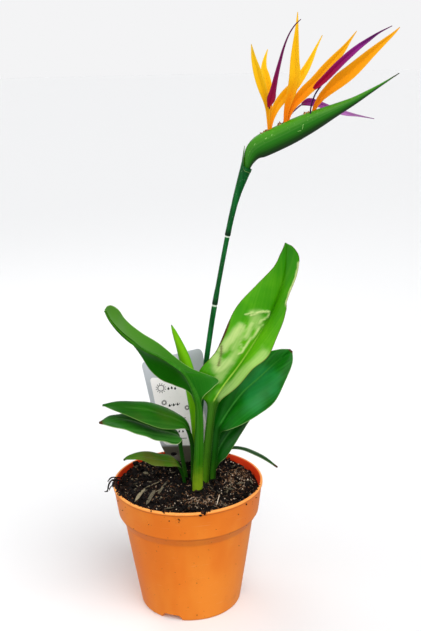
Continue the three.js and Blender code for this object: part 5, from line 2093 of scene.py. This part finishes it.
LEAVES = [
    Leaf("leaf_front", FRONT, "leaf_bright", bulge=0.1, rows=[
        ((7.8, 1.5, 88), (4.4, 2, 0), (-4.4, 2, 0), 7), ((8.4, 1.5, 110), (4.6, 2, 0), (-4.6, 2, 0), 7),
        ((10.2, 0.5, 140), (3.7, 1.8, 0), (-3.7, 1.8, 0), 6.4), ((11.2, -2, 172), (2.9, 1.6, 0), (-2.9, 1.6, 0), 4.6),
        ((9.5, -4, 188), (5, 2, -1), (-3.5, 2.5, -1), 3), ((5, -7, 201), (19, 8, -6), (-5, 8, -7), 1.8),
        ((-1, -11, 213), (29, 16, -12), (-8, 15, -16), 1.3), ((-10, -14, 222), (14, 17, -9), (-10, 15, -19), 1.1),
        ((-21, -18, 230), (2, 17, 5), (-8, 15, -16), 1), ((-31, -23, 237), (-4, 15, 11), (-4, 15, -11), 1),
        ((-43, -29, 247.5), (-3, 13, 14), (0, 13, -5), 1.6), ((-51.5, -35, 258), (0, 10, 14.5), (-1, 10, 0), 1.3),
        ((-57.5, -39, 268), (1.5, 6, 10.5), (-1, 6, 2), 1), ((-60.5, -42, 276.5), (1.5, 2, 3), (-0.5, 2, 1), 0.8),
    ]),
    Leaf("leaf_tall", BRIGHT, "leaf_bright", wave=0.5, marks=CREASES, steps=14, outer_count=20, rows=[
        ((13.8, 6.6, 88), (-3.2, -1, 0), (3.2, -1, 0), 5.4), ((15, 6.6, 110), (-3.4, -1, 0), (3.4, -1, 0), 5.6),
        ((18, 6, 140), (-3.6, -1, 0), (3.6, -1, 0), 5.6), ((21, 4.5, 165), (-3.4, -1, 0.5), (3.4, -1, -0.5), 5.4),
        ((23, 4.5, 178), (-5, 1, 1), (4, -2.5, -1), 5), ((27, 5, 186), (-15, 4, 1), (3, -7, -2), 4.4),
        ((35, 7, 197), (-23, 4, 9), (6, -13, -2), 3.8), ((48, 10, 213), (-21, 2, 11), (8, -18, -1), 3.2),
        ((62, 14, 233), (-23.5, 1, 16), (9, -19, -8), 2.6), ((74, 18, 252), (-26, 1, 12), (7.5, -17, -6), 2.2),
        ((82, 21, 270), (-19, 1, 8.5), (7, -12, -3), 1.8), ((87, 23, 287), (-9.5, 0, 6.5), (10, -7, 0), 1.4),
        ((88.5, 24, 302), (-4.6, 0, 3), (10.8, -4, -0.5), 1.1),
        ((88.8, 24, 309.5), (-2.2, 0, 1.6), (6, -2, 0.5), 0.9), ((88.4, 24, 313.6), (-1, 0, 0.2), (1, 0, -0.6), 0.8),
    ]),
    Leaf("leaf_right", DARK, "leaf_dark", bulge=0.1, dry_tip=0.03, marks=SHEEN, rows=[
        ((20.8, 11, 88), (-2.6, -0.6, 0), (2.6, -0.6, 0), 4.4), ((22, 11, 110), (-2.6, -0.6, 0), (2.6, -0.6, 0), 4.4),
        ((24.8, 11, 136), (-2.8, -0.6, 0), (2.8, -0.6, 0), 4.4), ((27, 12.5, 151), (-4, 1.5, 1), (3, -1.5, -2), 4.2),
        ((32, 14, 160), (-8, 5, 5), (5, -6, -7), 3.6), ((41, 18, 172), (-13, 7, 11), (8, -10, -14), 3),
        ((52, 24, 183), (-13, 7, 14), (12, -12, -18), 2.5), ((66, 30, 193), (-12, 6, 13), (12, -12, -19), 2),
        ((79, 35, 203), (-9, 4, 9), (9, -10, -13), 1.6), ((89, 38, 210), (-5, 2, 5), (6, -6, -6), 1.2),
        ((95, 39, 214), (-1, 0.5, 1), (1, -0.5, -1), 0.8),
    ]),
    Leaf("leaf_under_right", SHADED, "leaf_dark", rows=[
        ((19.5, 19.5, 88), (-2.5, 0, 0), (2.5, 0, 0), 4), ((21.3, 19.5, 106), (-2.5, 0, 0), (2.5, 0, 0), 4),
        ((24.5, 20.5, 119), (-4, 2, 1), (4, -2, -2), 3.6), ((29, 23, 130), (-6, 6, 6), (6, -4, -7), 3),
        ((36, 28, 139), (-7, 7, 9), (7, -4, -6), 2.4), ((45, 34, 147), (-7, 6, 9), (5, -3, -6), 2),
        ((55, 40, 153), (-6, 4, 7), (3, -2, -3), 1.5), ((65, 44, 158), (-1, 1, 1), (1, -1, -1), 0.8),
    ]),
    Leaf("leaf_upper_left", LEFT, "leaf_dark", vein_slope=5, rows=[
        ((5.2, 7.6, 88), (0.8, -2.2, 0), (-0.8, 2.2, 0), 2.4), ((5.2, 7.6, 110), (0.8, -2.2, 0), (-0.8, 2.2, 0), 2.4),
        ((5.6, 7.2, 135), (0.8, -2.2, 0), (-0.8, 2.2, 0), 2.4), ((3.5, 5, 152), (1, -2.2, 0), (0, 2.2, 1), 2.6),
        ((-1, 0.5, 163), (0, -4, -3), (1, 6, 1), 2.5), ((-8, -5.5, 170), (-1, -8, -6), (1, 11, 1), 2.3),
        ((-20, -13, 178), (-1, -10, -9), (1, 14, 1), 2), ((-32, -20, 185), (-1, -9, -9), (1, 13, 2), 1.7),
        ((-45, -27, 190), (-1, -7, -5), (1, 11, 1), 1.4), ((-57, -34, 195), (0, -3, -4), (1, 7, 1), 1.1),
        ((-67, -38, 197), (0.3, -1, 0), (0, 1, 0.3), 0.8),
    ]),
    Leaf("leaf_lower_left", HOOKED, "leaf_dark", dry_tip=0.035, vein_slope=5, wave=0.6,
         wave_length=20, rows=[
        ((0.2, 15.8, 88), (0.8, -2.1, 0), (-0.8, 2.1, 0), 2.8),
        ((-0.9, 15.6, 108), (0.8, -2.1, 0), (-0.8, 2.1, 0), 2.8),
        ((-3.2, 14, 124), (0.9, -2.1, 0), (-0.9, 2.1, 0), 2.6), ((-5, 10.5, 139), (1, -2.1, 0), (-1, 2.1, 0), 2.5),
        ((-7, 5, 150), (3, -4, -2), (0, 4, 1), 2.4), ((-13, -2, 156), (5, -8, -7), (1, 11, 2), 2.2),
        ((-25, -9, 163), (5, -9, -8), (1, 14, 2), 1.9), ((-37, -16, 171), (5, -9, -9), (0, 14, 1), 1.6),
        ((-49, -23, 178), (4, -8, -8), (0, 12, 1), 1.4), ((-60, -30, 182), (2, -5, -6), (-1, 8, 0), 1.1),
        ((-71, -35, 181), (0.5, -1, -0.8), (0, 1, 0), 0.8),
    ]),
    Leaf("leaf_low", LOW, "leaf_dark", wave=0.5, wave_length=22, dry_tip=0.02, rows=[
        ((-1.4, 10.2, 88), (0.5, -1.8, 0), (-0.5, 1.8, 0), 2.2),
        ((-2.2, 10, 104), (0.5, -1.8, 0), (-0.5, 1.8, 0), 2.2),
        ((-4.5, 8.8, 115), (0.6, -1.8, 0), (-0.6, 1.8, 0), 2.2), ((-9, 5.5, 124.5), (1, -3, -2), (0, 3, 1), 2.1),
        ((-17, 2, 129), (-1, -6, -3), (0, 7, 2), 1.8), ((-28, -4, 134), (0, -6, -4), (1, 7, 2), 1.5),
        ((-39, -10, 139), (0, -4, -2), (0, 6, 2), 1.2), ((-49, -14, 140), (0, -2, -1), (0, 3, 1), 1),
        ((-54, -16, 139), (0, -0.9, 0), (0, 0.9, 0.3), 0.8),
    ]),
    Leaf("leaf_narrow", NARROW, "leaf_dark", bulge=0.05, dry_tip=0.05, wave=0, vein_slope=5, rows=[
        ((18.5, 29, 88), (-0.6, -1.4, 0), (0.6, 1.4, 0), 1.8),
        ((19.8, 29.5, 104), (-0.6, -1.4, 0), (0.6, 1.4, 0), 1.8),
        ((24.5, 32.5, 114.5), (-0.3, -1.5, 0), (0.3, 1.5, 0), 1.7),
        ((32, 36.5, 120.5), (0, -1.8, -0.4), (0, 2, 0), 1.5), ((41, 38.5, 123), (0, -2, -0.6), (0, 2.4, 0.2), 1.3),
        ((51, 38, 122), (-0.4, -2, -0.8), (0.4, 2.4, 0.4), 1.2),
        ((61, 35, 118.8), (-0.8, -2, -0.9), (0.8, 2.2, 0.5), 1.1),
        ((71, 30.5, 114.5), (-0.8, -1.6, -0.8), (0.8, 1.8, 0.5), 1),
        ((81, 25.5, 108), (-0.3, -0.8, -0.2), (0.3, 0.8, 0.2), 0.8),
    ]),
]

YELLOW_SEPAL = PetalSkin("sepal_yellow_skin", (
    (0, (240, 130, 10)), (0.2, (252, 156, 6)), (0.5, (252, 184, 4)), (0.85, (252, 198, 26)),
    (0.96, (226, 184, 60)), (1, (120, 96, 50))), margin=(255, 220, 60), line=(216, 130, 10))
GOLD_SEPAL = PetalSkin("sepal_gold_skin", (
    (0, (236, 112, 8)), (0.2, (250, 138, 2)), (0.5, (250, 150, 2)), (0.85, (246, 166, 12)),
    (0.96, (216, 150, 50)), (1, (96, 66, 40))), margin=(255, 208, 46), line=(206, 108, 6))
ORANGE_SEPAL = PetalSkin("sepal_orange_skin", (
    (0, (236, 112, 8)), (0.2, (250, 136, 0)), (0.6, (248, 144, 0)), (0.9, (244, 156, 10)),
    (0.97, (214, 134, 50)), (1, (150, 100, 60))), margin=(255, 200, 50), line=(210, 108, 6))
DARK_ARROW = PetalSkin("arrow_dark_skin", (
    (0, (150, 6, 40)), (0.25, (140, 10, 60)), (0.5, (110, 18, 80)), (0.75, (60, 16, 62)), (1, (24, 10, 26))),
    margin=(150, 50, 110), line=(60, 4, 40), margin_share=0.3)
LILAC_ARROW = PetalSkin("arrow_lilac_skin", (
    (0, (130, 10, 90)), (0.25, (150, 50, 160)), (0.6, (196, 120, 200)), (0.85, (120, 80, 120)), (1, (40, 30, 40))),
    margin=(210, 150, 210), line=(110, 30, 116))
BRIGHT_ARROW = PetalSkin("arrow_bright_skin", (
    (0, (156, 0, 36)), (0.25, (150, 2, 50)), (0.45, (134, 14, 96)), (0.65, (130, 30, 124)), (0.85, (64, 20, 74)),
    (1, (30, 16, 34))), margin=(160, 50, 140), line=(76, 2, 56), margin_share=0.3)

FLOWERS = [
    Flower("flower_1", [
        Petal([(74.4, 24, 402.5, 0.9), (73.8, 22.5, 415, 1.3), (72.7, 19, 427.5, 2.4), (68, 16, 442.5, 3.7),
               (64.5, 14, 453.5, 3.5), (61.5, 12, 464, 2.1), (59.5, 10, 474.5, 0.3)], (-0.2, -1, 0.1), 18, 0.3),
        Petal([(74.6, 25, 402.5, 0.9), (75.5, 28, 420, 1.6), (75, 31, 437, 3.4), (73, 33, 448.5, 3.6),
               (71.5, 34, 456, 2.6), (72.5, 35, 463.5, 1.4), (74.8, 36, 470.8, 0.3)], (0, -1, 0.2), 18, 0.5),
        Petal([(74.8, 24, 402.5, 0.9), (76.5, 24.5, 414.5, 1.8), (80.2, 25, 425, 3.4), (86.8, 26.5, 433.5, 4.2),
               (95.5, 29, 441.8, 4.1), (103.4, 31, 452.1, 3.4), (108.9, 33, 461.2, 2.4), (114, 34, 471.5, 1.1),
               (119, 35, 480.8, 0.3)], (0.2, -1, 0.3), 18, 0.5),
    ], Petal([(73, 13, 426, 0.9), (75, 12, 432.4, 3.6), (76.7, 11, 439.6, 2.7), (78.8, 9.5, 449.5, 2),
              (81.7, 8.5, 461, 1.4), (84.8, 7, 472, 0.9), (88.6, 6, 481.2, 0.6), (93, 5.5, 487.8, 0.5),
              (97.7, 5, 492.2, 0.3)], (-0.1, -1, 0), 24),
        [(74.8, 27, 403), (74.8, 26.4, 412), (74.6, 23, 420), (74.4, 16.5, 428), (75.2, 12.8, 434)],
        YELLOW_SEPAL, DARK_ARROW),
    Flower("flower_2", [
        Petal([(87.2, 24, 408.5, 1.2), (89, 22, 425, 2.6), (92.4, 20, 437.4, 3.9), (94.6, 18, 448.4, 4.9),
               (94.5, 17, 461.5, 3.9), (95, 16, 473, 2.8), (95.6, 15, 483, 1.7), (96.4, 15, 498, 0.3)],
              (-0.1, -1, 0), 20, 0.8),
        Petal([(88, 24, 408.5, 1.2), (91.4, 24, 423.2, 3.2), (102, 23, 435.7, 4.7), (111.7, 22, 444.8, 4.9),
               (119, 21, 453.5, 4.5), (126.7, 20, 462, 3.7), (133, 19, 469, 2.6), (138.2, 18, 476, 1.2),
               (143.6, 18, 483, 0.3)], (0.1, -1, 0.2), 20, 0.3),
    ], Petal([(103, 38.5, 426.6, 1.2), (108.8, 39.5, 428, 3.5), (115, 40.5, 427, 3.1), (123, 41.5, 424.2, 2.7),
              (132.5, 42, 420.3, 2.4), (141.5, 43, 417.9, 2), (149, 43, 416.5, 1.1), (156.5, 43, 415, 0.6),
              (164.6, 43, 413.3, 0.3)], (0, -1, 0.35), 18),
        [(89.8, 26.4, 408), (90.4, 27.6, 415), (94, 31.4, 420), (98.5, 35, 423.6), (103, 38, 426.4),
         (108, 40.2, 427.8)],
        GOLD_SEPAL, LILAC_ARROW),
    Flower("flower_3", [
        Petal([(109.6, 24, 415, 1.2), (111.6, 24, 424, 1.8), (116, 21.5, 431.8, 3), (121.8, 19, 438, 4.3),
               (130.5, 17.5, 445.5, 5.8), (137.9, 16, 451.2, 5.8), (146.3, 15, 458.5, 5), (154, 14, 465.5, 3.9),
               (162.8, 13, 473, 2.6), (171.8, 12, 480.6, 1.2), (176.4, 12, 485, 0.3)], (0.1, -1, 0.2), 20, 0.25),
    ], Petal([(108.6, 9, 439.6, 1.3), (111.2, 8.6, 442, 2.4), (117, 8, 447.2, 3.1), (124.3, 7, 454.5, 3.3),
              (131, 6.5, 460.8, 3.1), (137, 6, 466, 2.9), (143.2, 6, 470.8, 2.4), (150.6, 6, 475.8, 1.7),
              (159, 6, 481.1, 0.8), (169, 6, 485.9, 0.3)], (0.2, -1, 0.3), 24),
        [(108.4, 21.6, 416), (107.7, 19.9, 422.6), (109, 16, 430.8), (111.2, 12.5, 436.8), (114.2, 9.6, 441.5),
         (116.4, 8.2, 445)],
        ORANGE_SEPAL, BRIGHT_ARROW),
]


def main() -> None:
    """Builds the pot, the soil, the plant, its label and the studio."""
    logging.basicConfig(level=logging.INFO, format="%(relativeCreated)6d ms  %(message)s")
    pot = NurseryPot()
    spathe = Spathe()
    for part in (pot, PottingSoil(pot), *LEAVES, RolledLeaf(SPEAR), FlowerStalk(), spathe, *FLOWERS,
                 FootScales(spathe), PlantLabel(), Studio()):
        part.build()


if __name__ == "__main__":
    main()
